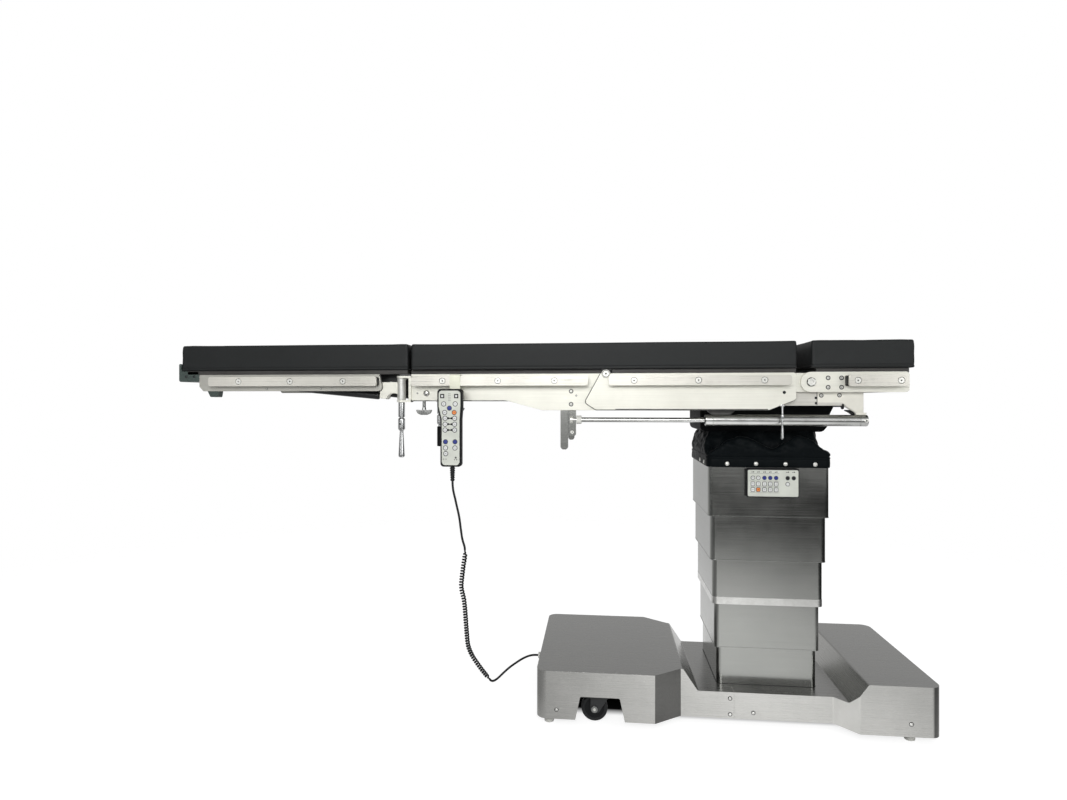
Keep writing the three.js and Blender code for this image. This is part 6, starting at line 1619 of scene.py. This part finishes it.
def clothPiece(name, grid, normals):
    # A stretch of the cloth with its inner side, closed at both ends
    rows, count = grid.shape[:2]
    inner = grid - normals * bellows["wall"]
    points = np.concatenate([grid, inner[::-1]])
    faces = gridFaces(rows * 2, count, closed=True, closedRows=True)
    data = bpy.data.meshes.new(name)
    data.from_pydata(toFrame(points.reshape(-1, 3)).tolist(), [], faces.tolist())
    data.polygons.foreach_set("use_smooth", [True] * len(data.polygons))
    data.materials.append(finishes["bellowsCloth"])
    given = np.concatenate([normals, -normals[::-1]]).reshape(-1, 3)
    data.normals_split_custom_set_from_vertices(given.tolist())
    piece = placed(name, data)
    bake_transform(piece)
    width, length, area = clothSize(grid)
    return piece


cloth = wrinkled(foldedCloth())
clothNormals = outwardNormals(cloth)
split = bellows["split"]
lowerCloth = clothPiece("bellowsLower", cloth[:split + 1], clothNormals[:split + 1])
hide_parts("bellows")
clothPiece("bellowsUpper", cloth[split:], clothNormals[split:])

# The band that holds the cloth's foot: a rippled strip, with studs along the front, the back and both ends
band = dict(half=(161, 167), corner=14, count=320, proud=4.4, studs=(-111, -34, 44, 122), studZ=709)
bandSection = ((0.4, 699.6), (2.2, 699), (3.6, 699.8), (4.2, 702), (4.6, 709), (4.3, 716), (3.7, 720.3),
               (3.2, 721.2), (3.9, 722.2), (4.6, 724.5), (4.2, 727), (2.6, 728.6), (1.0, 728.2))
studProfile = [(0, 2.6), (2.5, 2.4), (4.4, 1.7), (5.6, 0.8), (6, 0), (6, -1.6), (0, -1.6)]


def bandShape():
    turn = np.linspace(0, math.tau, band["count"], endpoint=False)
    rings = []
    for grow, z in bandSection:
        ring = ringPoints(band["half"][0] + grow, band["half"][1] + grow, band["corner"] + grow,
                          band["count"])
        ripple = (0.35 * np.sin(23 * turn + z / 7) + 0.25 * np.sin(41 * turn + 1)) * (grow > 2)
        ring = ring * (1 + ripple / np.linalg.norm(ring, axis=1))[:, None]
        rings.append(np.concatenate([ring, np.full((band["count"], 1), z)], axis=1))
    made = bmesh.new()
    vertices = [made.verts.new(point) for point in np.concatenate(rings)]
    for corners in gridFaces(len(rings), band["count"], closed=True, closedRows=True):
        made.faces.new([vertices[index] for index in corners])
    bmesh.ops.recalc_face_normals(made, faces=made.faces)
    return made


bandPiece = Piece("bellowsBand", "column_top", "bellows_cloth", smooth=50).add(bandShape(), "bellowsCloth")
endFace, sideFace = (half + band["proud"] for half in band["half"])
for place in band["studs"]:
    for side in (-1, 1):
        dome(bandPiece, "screwSteel", studProfile, "y", (place, band["studZ"]), side * sideFace, side)
        if place < 0 or side > 0:
            dome(bandPiece, "screwSteel", studProfile, "x", (place - 5, band["studZ"]), side * endFace,
                 side)
bandPiece.make()
print("stage: bellows", flush=True)


# Floor, world and lamps

studio = dict(ambient=0.46, ceiling=0.14, wall=0.72, aside=0.18, rear=0.75, floor=0.36, glow=0.84,
              mirrorGlow=0.62, floorFar=0.03, shade=0.02, reach=9)
# Place, target, width, depth and power of each lamp, in metres and watts
lamps = {
    "keyLamp": ((-0.1, -2.6, 1.6), (-0.05, 0, 0.75), 1.6, 0.8, 34),
    "stripLamp": ((-1.9, -2.4, 0.95), (-0.9, -0.2, 0.85), 0.22, 1.4, 3),
    "fillLamp": ((2.4, -2.4, 1.3), (0.4, 0, 0.6), 1.1, 1.1, 12),
    "topLamp": ((0.2, 0.7, 3.4), (0, 0, 0.5), 3.0, 1.6, 7),
}


def grey(value):
    return (value, value, value)


def rays(kit, *kinds):
    # For each kind of ray, whether it is the one that asks
    return (kit.node("LightPath", {}, {}, f"Is {kind} Ray") for kind in kinds)


def floorMaterial():
    # Metal mirrors a dim floor behind the camera. The camera sees it white everywhere, with the
    # table's shadow
    kit = surface("paleFloor")
    byCamera, offMetal = rays(kit, "Camera", "Glossy")
    spot = kit.node("NewGeometry", {}, {}, "Position")
    spotX, spotY = part(kit, spot, 0), part(kit, spot, 1)
    bright = ramp(kit, spotY, -3.4, -1.0) * ramp(kit, spotX, 1.9, 0.7)
    bright = bright * ramp(kit, spotX, -0.2, 0.55, 0.25, 1.0).most(ramp(kit, spotY, -0.2, 0.2, 0.0, 0.6))
    # Painted shadow: the floor under the base cover is painted dark and loses its glow
    middleX, middleY, _ = map(float, toFrame(((base["foot"] + base["head"]) / 2, 0, 0)))
    under = ramp(kit, abs(spotX - middleX), 0.53, 0.46) * ramp(kit, abs(spotY - middleY), 0.17, 0.13)
    tone = mixed(kit, byCamera, grey(0.8), grey(studio["floor"]))
    tone = mixed(kit, offMetal * (1 - bright), tone, grey(studio["floorFar"]))
    tone = mixed(kit, under, tone, grey(studio["shade"]))
    glow = mixed(kit, offMetal * bright, grey(0.0), grey(studio["mirrorGlow"]))
    glow = mixed(kit, byCamera * (1 - under), glow, grey(studio["glow"]))
    away = kit.node("VectorMath", {"operation": "LENGTH"}, {0: spot}, "Value")
    return kit.end({"Base Color": tone, "Emission Color": glow, "Emission Strength": 1.0, "Roughness": 0.9,
                    "Specular IOR Level": 0.0, "Alpha": 1 - byCamera * ramp(kit, away, 1.3, 3.2)})


def room():
    # Metal mirrors a pale wall in front of the table, dimmer to its left and under a dark ceiling
    kit = Kit(bpy.data.worlds.new("studio"), "Background")
    byCamera, offMetal, throughGlass = rays(kit, "Camera", "Glossy", "Transmission")
    seen = byCamera.most(offMetal).most(throughGlass)
    direction = kit.node("TexCoord", {}, {}, "Generated")
    across, ahead, up = (part(kit, direction, axis) for axis in range(3))
    wall = ramp(kit, ahead, -0.25, -0.55) * ramp(kit, across, -0.62, -0.25) * ramp(kit, up, 0.75, 0.55)
    mirrored = mixed(kit, ramp(kit, ahead, 0.0, 0.3), grey(studio["aside"]), grey(studio["rear"]))
    mirrored = mixed(kit, ramp(kit, up, 0.6, 0.8), mirrored, grey(studio["ceiling"]))
    mirrored = mixed(kit, wall, mirrored, grey(studio["wall"]))
    shown = mixed(kit, offMetal, grey(1.0), mirrored)
    return kit.end({"Color": mixed(kit, seen, grey(studio["ambient"]), shown), "Strength": 1.0})


reach = studio["reach"]
floorCorners = [(-reach, -reach, 0), (reach, -reach, 0), (reach, reach, 0), (-reach, reach, 0)]
floorData = bpy.data.meshes.new("floor")
floorData.from_pydata(floorCorners, [], [(0, 1, 2, 3)])
floorData.materials.append(floorMaterial())
placed("floor", floorData)
bpy.context.scene.world = room()
for name, (place, target, width, depth, power) in lamps.items():
    data = bpy.data.lights.new(name, "AREA")
    data.shape = "RECTANGLE"
    data.size, data.size_y = width, depth
    data.energy = power
    made = placed(name, data)
    made.location = place
    made.rotation_euler = (Vector(target) - Vector(place)).to_track_quat("-Z", "Y").to_euler()
bpy.context.scene.view_settings.view_transform = "Standard"
print("stage: studio", flush=True)
